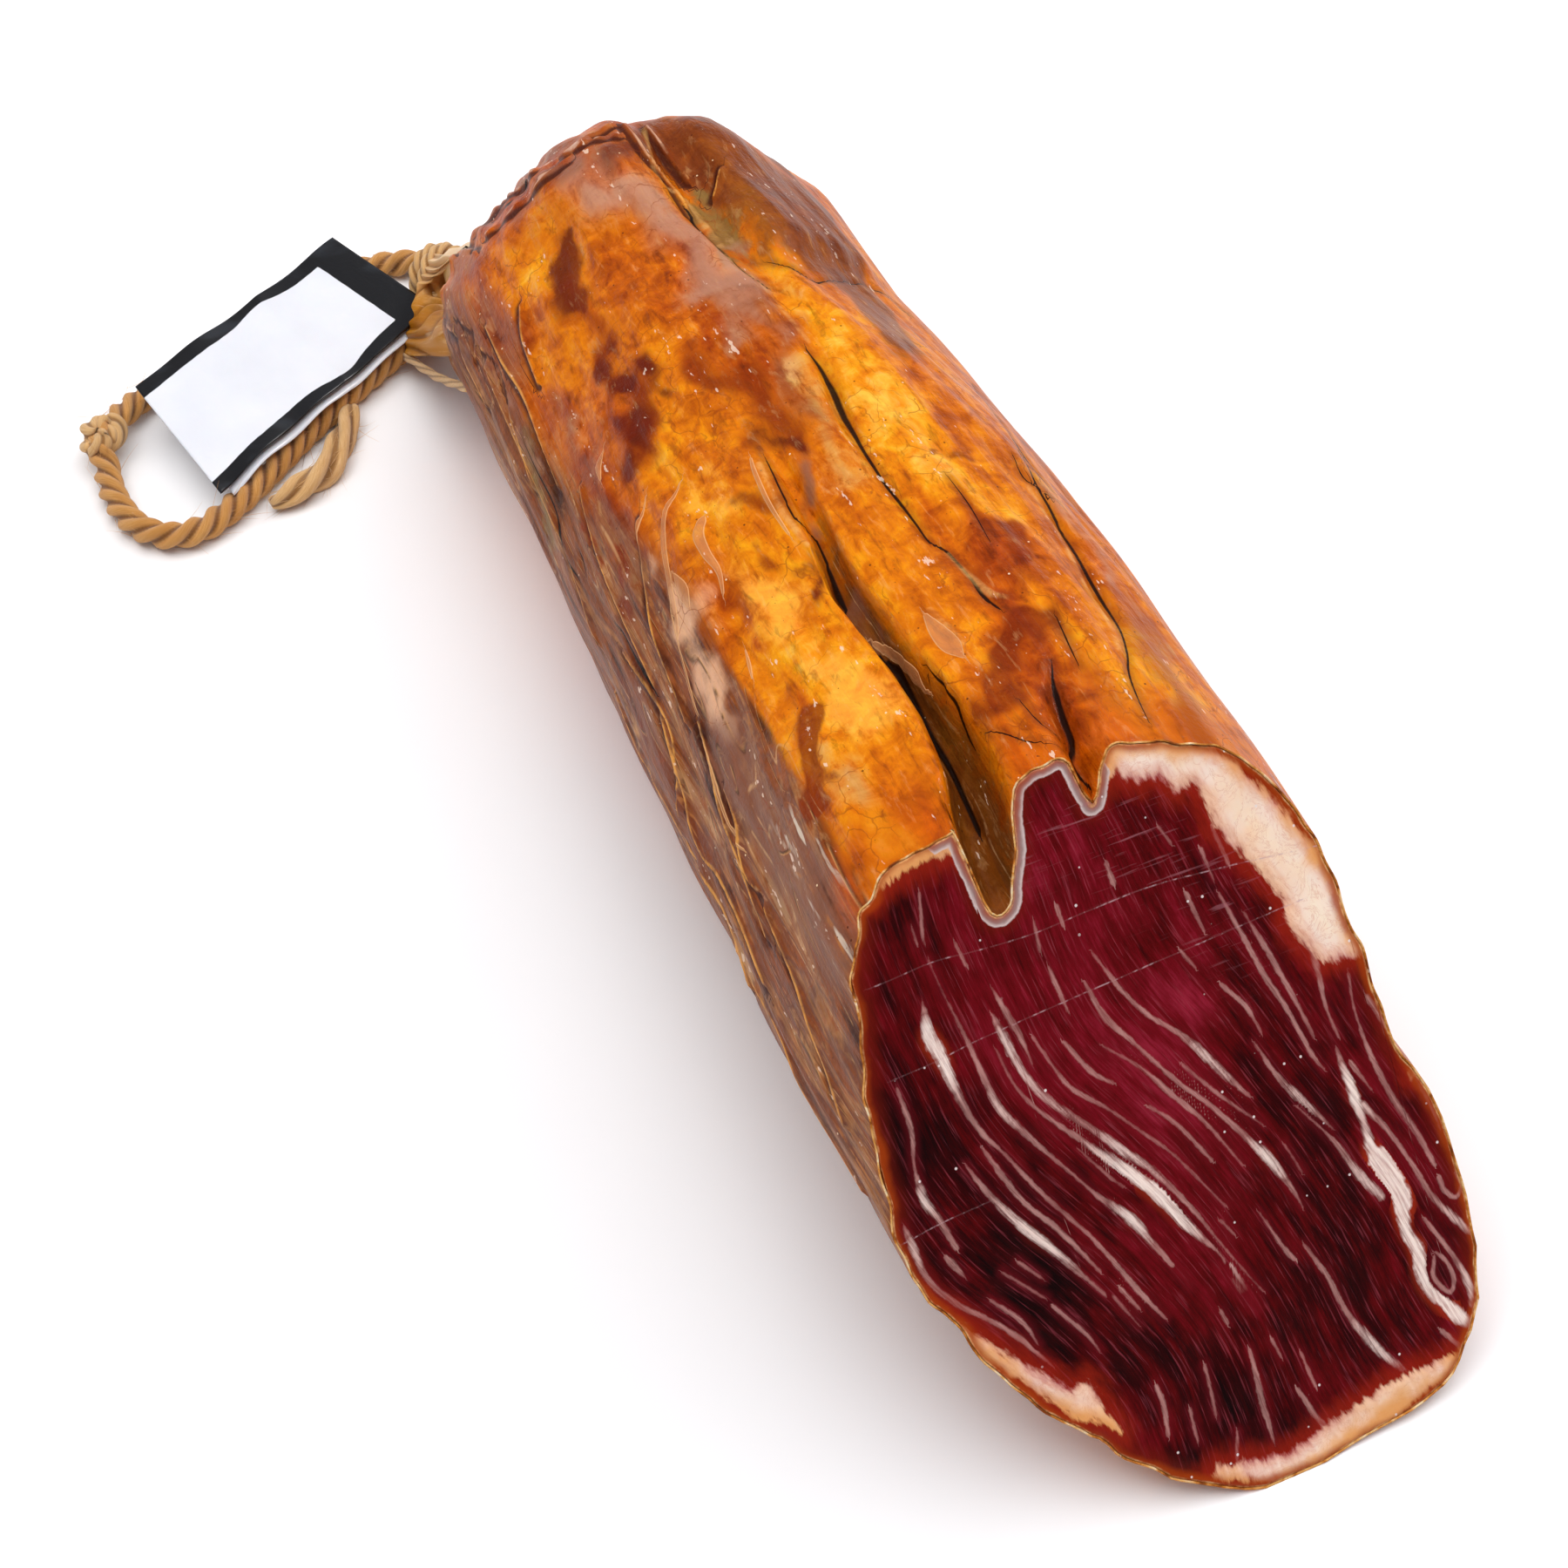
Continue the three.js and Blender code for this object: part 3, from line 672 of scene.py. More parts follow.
def neck_point(t, angle):
    """The gathered neck, from its tip (t = 0) past the tie to the end face (t = 1): rings that
    widen as t to a power, with pleats round them."""
    root = body_point(np.full_like(angle, END_X), angle)
    past_tie = np.clip((t - NECK_TIE_SHARE) / (1 - NECK_TIE_SHARE), 0, 1)
    to_tie = np.clip(t / NECK_TIE_SHARE, 0, 1)
    tip_side = blend(NECK_TIP, NECK_TIE, to_tie[..., None])
    centre = blend(tip_side, NECK_ROOT, past_tie[..., None])
    pleat = 1 + NECK_PLEAT_DEPTH * np.cos(NECK_PLEATS * angle) * np.sin(np.pi * past_tie)
    root_radius = np.hypot(root[..., 1] - NECK_ROOT[1], root[..., 2] - NECK_ROOT[2])
    tip_radius = NECK_TIE_RADIUS * np.sqrt(np.clip(NECK_TIP_TAPER + to_tie, 0, 1))
    radius = blend(tip_radius, root_radius, past_tie**NECK_FLARE) * pleat
    y = centre[..., 1] + radius * np.cos(angle)
    z = np.maximum(centre[..., 2] + radius * np.sin(angle), 0)
    return np.stack([np.broadcast_to(centre[..., 0], y.shape), y, z], axis=-1)


# %% The skin as a grid
# Columns are closest together over the upper side, where the folds are.
COLUMN_ARCS = [(0, 35, 30), (35, 205, 250), (205, 360, 70)]
NECK_ROWS, CAP_ROWS, BODY_ROWS, ROW_LEAN = 18, 34, 190, 3
angles = np.radians(np.concatenate([
    np.linspace(low, high, count, endpoint=False) for low, high, count in COLUMN_ARCS
]))
columns = len(angles)
ends = cut_x(angles)
t = (np.arange(NECK_ROWS) / NECK_ROWS)[:, None]
neck_rows = neck_point(*np.broadcast_arrays(t, angles[None, :]))
cap_x = END_X + END_ROUNDING * (np.arange(CAP_ROWS) / CAP_ROWS) ** 2
cap_rows = body_point(*np.broadcast_arrays(cap_x[:, None], angles[None, :]))
t = np.linspace(0, 1, BODY_ROWS + 1)[:, None]
straight = blend(END_X + END_ROUNDING, ends.min(), t)
body_x = straight + (ends - ends.min())[None, :] * t**ROW_LEAN
body_rows = body_point(body_x, np.broadcast_to(angles, body_x.shape))
skin = np.concatenate([neck_rows, cap_rows, body_rows])
rows = len(skin)
x = skin[..., 0]
print(f"the skin has {rows} rows of {columns} points")
print(f"the cut leans from x {ends.max():.1f} to {ends.min():.1f} mm")


def grid_normals(points):
    """Outward directions of a grid whose columns go round: the step to the next column crossed
    with the step to the next row."""
    down = np.gradient(points, axis=0)
    across = np.roll(points, -1, axis=1) - np.roll(points, 1, axis=1)
    return unit(np.cross(across, down))


def ripples(points, seed, count, shortest, longest, stretch):
    """The sum of many sine waves of random direction and length, with a spread of about one.
    They run `stretch` times as long along X as across it."""
    draw = np.random.default_rng(seed)
    direction = unit(draw.normal(size=(count, 3))) * np.array([1 / stretch, 1, 1])
    waves = 2 * np.pi / draw.uniform(shortest, longest, count)[:, None] * direction
    phases = draw.uniform(0, 2 * np.pi, count)
    total = np.zeros(points.shape[:-1])
    for wave, phase in zip(waves, phases):
        total += np.sin(points @ wave + phase)
    return total * np.sqrt(2 / count)


# %% [markdown]
# ## Marks on the skin
# Creases, ridges and patches of colour are read off the picture as a few pixels each, and every
# pixel becomes the place on the skin that it shows. A crease is a line, so the skin stores on
# which side of the nearest crease a point lies and how far, which keeps a thin line sharp. A
# patch is soft, so the skin stores how much of it is at each point.


# %% Finding places on the skin
def seen_places(pixels, points, outward):
    """The place on the skin that each pixel shows: the mean of the three nearest grid points,
    in the picture, among those that face the camera."""
    facing = np.einsum("...k,...k", outward, EYE - points) > 0
    candidates, directions = points[facing], outward[facing]
    screen = project(candidates)
    pixels = np.asarray(pixels, float)[:, :2]
    apart = ((pixels[:, None] - screen[None]) ** 2).sum(-1)
    nearest = np.argpartition(apart, 3, axis=1)[:, :3]
    weight = 1 / (np.take_along_axis(apart, nearest, 1) + 0.5)
    weight = (weight / weight.sum(1, keepdims=True))[..., None]
    return (candidates[nearest] * weight).sum(1), unit((directions[nearest] * weight).sum(1))


def line_field(points, lines, facing, reach=4.0):
    """For each point and the nearest of several lines: its distance with a sign for the side,
    the line's half width there, the plain distance, and how much farther the second nearest line
    is. Lines are arrays of places with the half width last. facing is the surface's direction."""
    flat = points.reshape(-1, 3)
    face = np.broadcast_to(facing, points.shape).reshape(-1, 3)
    best, second = np.full(len(flat), 99.0), np.full(len(flat), 99.0)
    side, half = np.full(len(flat), 99.0), np.zeros(len(flat))
    for line in lines:
        places, width = line[:, :3], line[:, 3]
        low, high = places.min(0) - reach, places.max(0) + reach
        close = np.flatnonzero(((flat > low) & (flat < high)).all(1))
        start, step = places[:-1], np.diff(places, axis=0)
        offset = flat[close][:, None] - start
        t = np.clip((offset * step).sum(-1) / (step**2).sum(-1), 0, 1)
        gap = offset - t[..., None] * step
        distance = np.linalg.norm(gap, axis=-1)
        pick = distance.argmin(1)
        row = np.arange(len(close))
        d = distance[row, pick]
        better = d < best[close]
        second[close] = np.minimum(second[close], np.maximum(d, best[close]))
        turned = np.einsum("ij,ij->i", np.cross(gap[row, pick], step[pick]), face[close])
        chosen = close[better]
        best[chosen] = d[better]
        side[chosen] = (np.sign(turned) * d)[better]
        half[chosen] = blend(width[pick], width[pick + 1], t[row, pick])[better]
    shape = points.shape[:-1]
    return side.reshape(shape), half.reshape(shape), best.reshape(shape), (second - best).reshape(shape)


def stroke_field(points, strokes):
    """How much of a soft patch is at each point: amount * exp(-(distance / half width)^2) for
    each stroke, added up."""
    total = np.zeros(points.shape[:-1])
    for places, half, amount in strokes:
        line = np.column_stack([places, np.full(len(places), half)])
        _, _, distance, _ = line_field(points, [line], UPWARD, reach=3 * half)
        total += amount * np.exp(-((np.minimum(distance, 9 * half) / half) ** 2))
    return total


# %% Creases, ridges and slivers: pixel across, pixel down and full width in pixels
CREASES = [
    [(879, 527, 2), (911, 593, 3), (938, 621, 3), (961, 678, 5), (980, 713, 6), (1000, 741, 7),
     (1028, 768, 8), (1046, 800, 9), (1069, 846, 9), (1090, 880, 7), (1108, 920, 6), (1126, 958, 6)],
    [(1062, 763, 1), (1080, 786, 4), (1099, 816, 5), (1110, 846, 4), (1124, 864, 1)],
    [(927, 400, 3), (941, 418, 5), (954, 441, 6), (959, 450, 6), (972, 480, 5), (989, 512, 4),
     (1005, 539, 4), (1018, 558, 4), (1034, 578, 4), (1053, 601, 3), (1067, 620, 3), (1085, 630, 4),
     (1115, 662, 4), (1129, 681, 5), (1147, 697, 2)],
    [(881, 301, 1), (918, 311, 3), (941, 320, 3), (982, 322, 2), (1010, 334, 2), (1044, 361, 1)],
    [(1170, 520, 1), (1188, 554, 3), (1207, 584, 4), (1230, 623, 4), (1248, 658, 4), (1266, 688, 4),
     (1285, 722, 3), (1294, 752, 3), (1298, 775, 3), (1321, 825, 1)],
    [(1161, 525, 1), (1174, 548, 2), (1193, 561, 2), (1207, 571, 1)],
    [(1119, 441, 1), (1136, 466, 2), (1158, 498, 2), (1181, 530, 2), (1209, 562, 1)],
    [(1087, 546, 1), (1113, 581, 2), (1136, 622, 1)], [(1211, 708, 1), (1225, 735, 2), (1239, 763, 1)],
    [(1208, 759, 1), (1210, 784, 4), (1218, 818, 5), (1230, 853, 5), (1236, 880, 5), (1250, 905, 4)],
    [(1170, 805, 1), (1193, 828, 2), (1218, 853, 1)],
    [(1129, 841, 1), (1149, 841, 2), (1179, 851, 2), (1220, 864, 1)],
    [(664, 630, 1), (668, 645, 4), (673, 659, 1)],
    [(706, 716, 1), (714, 730, 4), (724, 753, 5), (738, 776, 4), (752, 800, 1)],
    [(600, 500, 1), (614, 535, 3), (634, 581, 3), (653, 638, 3), (676, 684, 1)],
    [(618, 193, 2), (600, 215, 5), (575, 240, 5), (548, 265, 2)],
    [(790, 238, 3), (815, 268, 8), (838, 292, 8), (858, 312, 6), (880, 330, 2)],
]
RIDGES = [
    [(737, 150, 4), (755, 200, 4), (783, 223, 4), (801, 244, 4), (826, 276, 4), (842, 299, 4),
     (865, 317, 4), (881, 336, 4), (911, 373, 4), (927, 393, 4)],
    [(1087, 634, 6), (1103, 650, 6), (1122, 668, 6), (1140, 682, 6), (1156, 686, 6)],
    [(872, 536, 3), (900, 590, 3), (927, 623, 3)],
    [(1179, 560, 4), (1220, 622, 5), (1255, 690, 5), (1284, 750, 4)],
    [(1067, 701, 3), (1090, 722, 3), (1106, 738, 3)],
]
SLIVERS = [
    [(693, 518, 2), (689, 536, 9), (694, 553, 2)],
    [(741, 571, 1), (736, 605, 4), (734, 651, 4), (741, 685, 1)],
    [(778, 554, 2), (766, 587, 6), (764, 621, 8), (771, 667, 7), (778, 713, 6), (780, 740, 2)],
    [(778, 660, 2), (788, 680, 16), (794, 698, 4)],
    [(806, 598, 10), (804, 616, 12), (814, 639, 9), (828, 660, 6), (832, 686, 2)],
    [(773, 700, 1), (785, 763, 3), (798, 815, 3), (823, 891, 2), (840, 939, 2), (859, 977, 1)],
    [(857, 748, 1), (861, 764, 3), (864, 780, 1)],
    [(1062, 706, 4), (1076, 724, 16), (1092, 740, 20), (1104, 752, 4)],
    [(1003, 738, 4), (1030, 755, 12), (1052, 774, 14), (1067, 793, 3)],
    [(863, 528, 2), (868, 545, 4), (884, 580, 4), (905, 612, 2)],
]
# Folds of film along the flank: a crest with painted highlight, and a hollow on its left with painted shade.
FILM_FOLDS = [
    [(714, 749, 2), (743, 791, 3), (770, 844, 3), (783, 918, 3), (791, 971, 4), (812, 1008, 4),
     (833, 1051, 4), (864, 1130, 3)],
    [(759, 823, 2), (783, 897, 3), (804, 971, 3), (823, 1003, 4), (849, 1056, 4), (880, 1130, 3)],
    [(804, 828, 2), (817, 876, 3), (833, 929, 4), (852, 982, 4), (865, 1024, 3), (881, 1077, 2)],
    [(701, 796, 2), (727, 855, 3), (759, 908, 3), (786, 961, 2)],
    [(836, 905, 1), (851, 950, 4), (860, 1000, 3), (872, 1020, 1)],
    [(670, 560, 1), (690, 640, 2), (722, 722, 2), (750, 790, 2)],
    [(735, 600, 1), (742, 680, 2), (760, 750, 2), (790, 830, 1)],
    [(560, 420, 1), (600, 520, 2), (650, 630, 2), (690, 740, 1)],
    [(880, 1040, 2), (905, 1110, 3), (940, 1200, 3), (975, 1290, 2)],
    [(850, 1090, 2), (890, 1170, 3), (935, 1270, 3), (985, 1370, 2)],
    [(522, 295, 2), (516, 332, 4), (521, 375, 4), (538, 417, 3), (560, 465, 2)],
    [(536, 285, 2), (527, 325, 4), (533, 370, 3), (548, 410, 2)],
    [(545, 290, 2), (543, 340, 3), (556, 400, 3), (590, 480, 3), (612, 560, 2)],
    [(560, 375, 1), (581, 417, 3), (602, 449, 3), (618, 491, 2), (640, 560, 1)],
    [(602, 353, 1), (607, 396, 2), (619, 438, 1)],
    [(548, 262, 2), (572, 236, 4), (600, 212, 5), (632, 190, 4), (668, 166, 3), (700, 150, 2)],
    [(560, 270, 2), (590, 240, 3), (618, 214, 3), (650, 190, 2)],
    [(622, 205, 1), (650, 180, 3), (684, 162, 3), (706, 158, 1)],
    [(716, 150, 2), (733, 168, 3), (750, 189, 4), (775, 214, 4), (796, 246, 2)],
    [(742, 150, 2), (762, 172, 3), (790, 205, 2)], [(827, 193, 2), (817, 223, 3)],
]
SKIN_PIXELS_PER_MM, SKIN_PIECES = 8.0, 6
skin_out = grid_normals(skin)


def on_skin(marks):
    """Each mark's line on the skin, smoothed, with its half width in millimetres."""
    lines = []
    for mark in marks:
        mark = np.array(mark, float)
        places, _ = seen_places(mark, skin, skin_out)
        half = mark[:, 2] / 2 / SKIN_PIXELS_PER_MM
        lines.append(spline(np.column_stack([places, half]), SKIN_PIECES * (len(mark) - 1)))
    return lines


crease_side, crease_half, crease_far, _ = line_field(skin, on_skin(CREASES), skin_out)
_, _, ridge_far, _ = line_field(skin, on_skin(RIDGES), skin_out)
sliver_side, sliver_half, sliver_far, _ = line_field(skin, on_skin(SLIVERS), skin_out)
film_fold_side, film_fold_half, film_fold_far, _ = line_field(skin, on_skin(FILM_FOLDS), skin_out)
print(f"{len(CREASES)} creases, {len(RIDGES)} ridges and {len(SLIVERS)} slivers of film lie on the skin")

# %% Patches of colour, as pixels, half width in mm and amount
# First, where the tone under every paint is darker (below 0) or lighter (above 0).
TONE = [
    ([(712, 430), (725, 480), (735, 530)], 2.6, -0.2), ([(730, 290), (790, 350), (850, 420)], 7.0, -0.3),
    ([(560, 330), (600, 400)], 4.0, -0.45), ([(560, 240), (640, 200), (720, 190)], 6.0, -0.3),
    ([(1145, 605), (1170, 630)], 4.0, -0.3), ([(1120, 640), (1160, 700), (1200, 760)], 5.0, -0.3),
    ([(940, 900), (960, 960), (985, 1000)], 2.0, -0.3), ([(1050, 560), (1072, 592)], 1.8, -0.3),
    ([(1200, 790), (1240, 860)], 2.5, -0.3),
    ([(852, 708), (867, 740), (882, 763), (898, 790), (919, 824)], 0.7, -0.6),
    ([(780, 600), (800, 680), (830, 760)], 2.2, -0.25), ([(640, 470), (680, 560), (720, 650)], 3.0, -0.35),
    ([(610, 300), (630, 335)], 2.2, 0.35), ([(635, 380), (680, 405)], 3.0, 0.25),
    ([(745, 465), (765, 540)], 2.4, 0.35), ([(745, 400), (790, 465)], 2.6, 0.2),
    ([(805, 560), (845, 575)], 3.0, 0.4), ([(885, 740), (950, 770)], 4.0, 0.35),
    ([(890, 320), (930, 360), (970, 405)], 5.0, 0.4), ([(1005, 450), (1035, 500), (1065, 545)], 4.5, 0.45),
    ([(1110, 545), (1148, 575)], 2.5, 0.4), ([(960, 600), (1010, 680), (1045, 720)], 5.0, 0.15),
    ([(935, 760), (975, 800), (1000, 850)], 3.0, 0.3), ([(820, 600), (860, 650)], 3.5, 0.25),
    ([(1010, 955), (1034, 970)], 1.5, 0.6), ([(1298, 738), (1330, 784)], 3.0, 0.3),
]
# Each paint: its colour, where it begins and where it is full, and its dabs.
PAINTS = {
    "mauve": ("#8a4c2c", 0.1, 0.9, [
        ([(740, 235), (790, 285), (830, 340)], 3.5, 0.6), ([(845, 325), (890, 400), (930, 470)], 3.2, 0.8),
        ([(545, 300), (575, 380), (600, 440)], 4.5, 0.7), ([(910, 530), (926, 590)], 1.5, 0.7),
        ([(995, 708), (1020, 726)], 1.5, 0.7), ([(640, 470), (700, 620), (760, 740)], 3.0, 0.5),
        ([(1175, 705), (1205, 728)], 2.5, 0.4), ([(560, 235), (620, 190), (700, 160)], 4.0, 0.7),
        ([(600, 260), (700, 240)], 5.0, 0.35), ([(1150, 470), (1230, 560), (1310, 680)], 2.4, 0.45),
    ]),
    "lobe": ("#683014", 0.15, 0.6, [
        ([(800, 150), (870, 200), (930, 270)], 9.0, 1.0), ([(900, 190), (970, 300), (1040, 400)], 4.0, 0.8),
    ]),
    "olive": ("#7c6434", 0.2, 0.7, [
        ([(805, 225), (830, 265), (850, 300)], 2.2, 0.9), ([(606, 495), (625, 580), (642, 665)], 2.6, 0.6),
        ([(920, 430), (955, 490)], 2.0, 0.4),
    ]),
    # Tan is partly painted sheen: most of its dabs lie along the left lobe's lit ridge.
    "tan_and_sheen": ("#c48a62", 0.2, 0.9, [
        ([(670, 205), (728, 215), (760, 240)], 2.6, 0.8), ([(900, 385), (925, 420)], 1.5, 0.6),
        ([(660, 480), (690, 560)], 1.6, 0.5), ([(845, 300), (875, 335)], 2.0, 0.7),
    ]),
    "beige": ("#c8924e", 0.2, 0.9, [
        ([(960, 855), (985, 885), (990, 915)], 2.8, 0.85),
        ([(925, 410), (950, 470), (985, 545)], 3.0, 0.65), ([(1335, 740), (1350, 810)], 2.0, 0.6),
        ([(860, 310), (900, 345)], 2.6, 0.5),
    ]),
    "pale": ("#f6a838", 0.2, 1.0, [
        ([(868, 672), (900, 718)], 3.4, 1.1), ([(932, 738), (950, 744)], 1.2, 0.8),
        ([(948, 762), (985, 800)], 3.2, 1.1), ([(970, 810), (1000, 832)], 2.8, 0.9),
        ([(806, 548), (845, 575)], 2.4, 0.7), ([(752, 525), (775, 540)], 1.4, 0.6),
        ([(1112, 540), (1140, 585)], 2.2, 0.6), ([(1010, 430), (1050, 520)], 3.0, 0.55),
        ([(1008, 956), (1030, 972)], 1.2, 0.9),
    ]),
    "rust": ("#782402", 0.2, 0.65, [
        ([(800, 410), (850, 445), (885, 480), (908, 512)], 3.2, 0.65),
        ([(700, 400), (725, 440), (738, 540)], 2.8, 0.8), ([(1140, 600), (1168, 640)], 2.2, 0.8),
        ([(1202, 704), (1174, 727), (1149, 773), (1142, 802)], 2.6, 1.1),
        ([(707, 645), (725, 712)], 1.6, 0.8), ([(1075, 518), (1108, 524)], 1.1, 0.6),
        ([(928, 828), (938, 862), (948, 905)], 2.2, 1.4), ([(640, 280), (645, 340), (690, 370)], 3.0, 0.5),
        ([(855, 565), (885, 610), (930, 680)], 1.6, 0.6), ([(700, 470), (660, 560), (690, 640)], 2.4, 0.4),
        ([(1110, 640), (1150, 700)], 1.6, 0.4),
    ]),
    "dark": ("#5a1406", 0.15, 0.75, [
        ([(650, 262), (647, 305)], 1.3, 0.9), ([(646, 312), (654, 348), (670, 340)], 3.0, 1.0),
        ([(702, 405), (722, 425), (742, 440)], 2.6, 0.8),
        ([(716, 436), (720, 470), (731, 500), (741, 545)], 1.7, 0.8), ([(744, 448), (764, 456)], 1.6, 0.7),
        ([(873, 508), (906, 518)], 1.9, 0.9), ([(700, 168), (728, 172)], 2.0, 0.9),
        ([(912, 630), (938, 680)], 1.6, 0.6), ([(700, 760), (730, 830), (770, 900)], 1.6, 0.7),
    ]),
    "grey": ("#6e4a40", 0.2, 0.9, [
        ([(600, 490), (630, 580), (665, 680)], 1.3, 0.6), ([(510, 340), (530, 400), (555, 450)], 2.5, 0.8),
        ([(600, 200), (640, 180)], 3.0, 0.6),
    ]),
}
# Smooth layers over the paint hide the grain under them: films of milky skin, and a painted sheen.
FILMS = {
    # Painted sheen: a smooth satin highlight along the left lobe's ridge and down the right side.
    "painted_sheen": ("#b9846a", 0.15, 0.9, [
        ([(664, 205), (720, 222), (775, 258), (825, 310)], 5.0, 0.85),
        ([(830, 325), (880, 385)], 3.4, 0.55), ([(560, 400), (590, 470), (625, 560)], 1.6, 0.6),
        ([(1200, 560), (1250, 620), (1300, 700)], 1.8, 0.6), ([(840, 285), (870, 330)], 1.6, 0.8),
    ]),
    "pinkish": ("#f4bc92", 0.15, 0.9, [
        ([(778, 690), (806, 760), (832, 830)], 2.8, 1.0), ([(735, 600), (760, 680)], 1.2, 0.5),
    ]),
    "edge": ("#9c480a", 0.1, 0.9, [
        ([(1285, 680), (1335, 760), (1390, 850)], 3.2, 0.9),
        ([(1130, 440), (1200, 520), (1260, 610)], 2.2, 0.5), ([(1230, 740), (1270, 800)], 2.6, 0.5),
    ]),
    "lilac": ("#80523f", 0.15, 0.8, [
        ([(830, 850), (870, 930), (915, 1010), (955, 1090)], 5.0, 1.0),
        ([(650, 480), (705, 610), (760, 730)], 2.2, 0.35), ([(600, 235), (650, 200), (720, 180)], 3.4, 0.7),
        ([(920, 540), (940, 600)], 1.6, 0.8), ([(985, 700), (1015, 728)], 1.6, 0.8),
    ]),
    "deep_rust": ("#72300e", 0.15, 0.8, [
        ([(725, 780), (755, 860), (790, 950), (830, 1040)], 4.4, 1.2),
        ([(540, 330), (570, 410), (610, 500)], 2.4, 0.6),
    ]),
}
# Where short pale dashes lie on the film, and where light falls into a dent of the flank.
DASHED = [([(915, 950), (950, 1060), (985, 1150)], 3.6, 1.0)]
SUNLIT = [([(845, 680), (885, 760), (935, 850)], 4.0, 1.4)]
warp = np.stack([
    ripples(skin, seed, 24, 6, 16, 1.6) + 0.45 * ripples(skin, seed + 10, 24, 2.4, 5, 1.6)
    for seed in (21, 22, 23)
], axis=-1)


def painted(dabs):
    """A patch attribute: each dab's pixels become places on the skin, read through the warp so
    that its border wanders."""
    places = [(seen_places(pixels, skin, skin_out)[0], half, amount) for pixels, half, amount in dabs]
    return stroke_field(skin + warp, places)


tone = painted(TONE)
paints = {name: painted(paint[-1]) for name, paint in {**PAINTS, **FILMS}.items()}
dashed, sunlit = painted(DASHED), painted(SUNLIT)

# %% [markdown]
# The skin then gets its relief along its own outward direction: soft swellings, long wrinkles
# where the casing shrank as the meat dried, puckers that gather towards the neck, and a groove
# along each crease. The relief fades out near the table and is weaker at the neck, and the last
# row is put back on the plane of the cut, where the blade left a clean edge.

# %% Relief
SWELL, WRINKLE, PUCKER, GROOVE, RIDGE, FILM, CREST, STREAK = 0.28, 0.15, 0.5, 0.6, 0.22, 0.12, 0.5, 0.16
PUCKERS, GUTTER_WIDER = 26, 1.12
low_side = smooth(0.0, 6.0, skin[..., 2])
to_cut = (CUT_TOE - CUT_SLOPE * skin[..., 2]) - x
end_share = 1 - smooth(END_X + 2, END_X + 22, x)
# The flank is the side of the skin that is turned away from the key lamp, but for one lit dent.
# Its ribbons of colour there are partly painted shade.
flank_edge = blend(-0.78, -0.48, smooth(-45.0, 55.0, x))
shaded_flank = smooth(0.0, 0.26, flank_edge - skin_out[..., 1]) * smooth(1.7, 1.95, angles)
shaded_flank *= 1 - np.clip(sunlit, 0, 1)
# Painted shade: a darker brown down the deep fold, strongest in its hollow.
place, deep, width, fullness = FOLDS["deep"]
across_gutter = np.abs(skin[..., 1] - along(place, x)) / along(width, x) / GUTTER_WIDER
gutter_shade = np.exp(-(across_gutter**fullness)) * smooth(0.0, 5.0, along(deep, x))
gutter_shade *= skin[..., 2] > CENTRE_Z_CUT
neck_share = 1 - smooth(END_X - 12, END_X, x)
wander = ripples(skin, 3, 12, 25, 60, 1.0)
pucker = np.cos(PUCKERS * angles[None, :] + 1.8 * wander) * end_share * (1 - 0.6 * neck_share)
groove_width = np.maximum(crease_half * 2.0, 0.45)
relief = (
    SWELL * ripples(skin, 1, 40, 9, 30, 2.2)
    + WRINKLE * ripples(skin, 2, 50, 2.4, 6, 9.0)
    + PUCKER * pucker
    + RIDGE * np.exp(-((ridge_far / 0.8) ** 2))
    + FILM * smooth(-0.2, 0.1, sliver_half - sliver_far)
    + CREST * (np.exp(-((film_fold_far / 0.5) ** 2)) - 0.6 * np.exp(-(((film_fold_side - 1.0) / 0.6) ** 2)))
    + STREAK * shaded_flank * ripples(skin, 4, 40, 2.6, 8, 12.0)
    - GROOVE * np.exp(-((crease_far / groove_width) ** 2)) * np.clip(crease_half / 0.35, 0.2, 1.2)
)
relief *= low_side * blend(1.0, 0.35, neck_share)
skin = skin + skin_out * relief[..., None]
skin[-1, :, 0] = CUT_TOE - CUT_SLOPE * skin[-1, :, 2]
skin[..., 2] = np.maximum(skin[..., 2], 0)

# %% Rim of the casing at the cut
# The cut shows the casing's edge: a thin lip stands proud of the meat, then turns inwards and
# back, so that the shell has a thickness there.
CUT_NORMAL = unit(np.array([1.0, 0.0, CUT_SLOPE]))
LIP_PROUD, LIP_WIDTH, LIP_BACK = 0.2, 0.26, 1.6
outline = skin[-1]
around = np.roll(outline, -1, axis=0) - np.roll(outline, 1, axis=0)
inward = unit(np.cross(np.broadcast_to(CUT_NORMAL, outline.shape), around))
ragged = np.clip(0.6 + 0.5 * ripples(outline, 31, 20, 2.0, 8.0, 1.0), 0.1, 2.0)[:, None]
LIP_ROWS = [(0.7, 0.06), (1.0, 0.22), (0.5, LIP_WIDTH)]
lip = np.stack([
    *[outline + LIP_PROUD * share * ragged * CUT_NORMAL + inner * inward for share, inner in LIP_ROWS],
    outline - LIP_BACK * CUT_NORMAL + LIP_WIDTH * 1.3 * inward,
])
lip[..., 2] = np.maximum(lip[..., 2], 0)
casing_points = np.concatenate([skin, lip])
casing_rows = len(casing_points)


def carried(values):
    """An attribute of the skin with the lip's rows added, which repeat the last one."""
    return np.concatenate([values, np.repeat(values[-1:], len(lip), axis=0)])


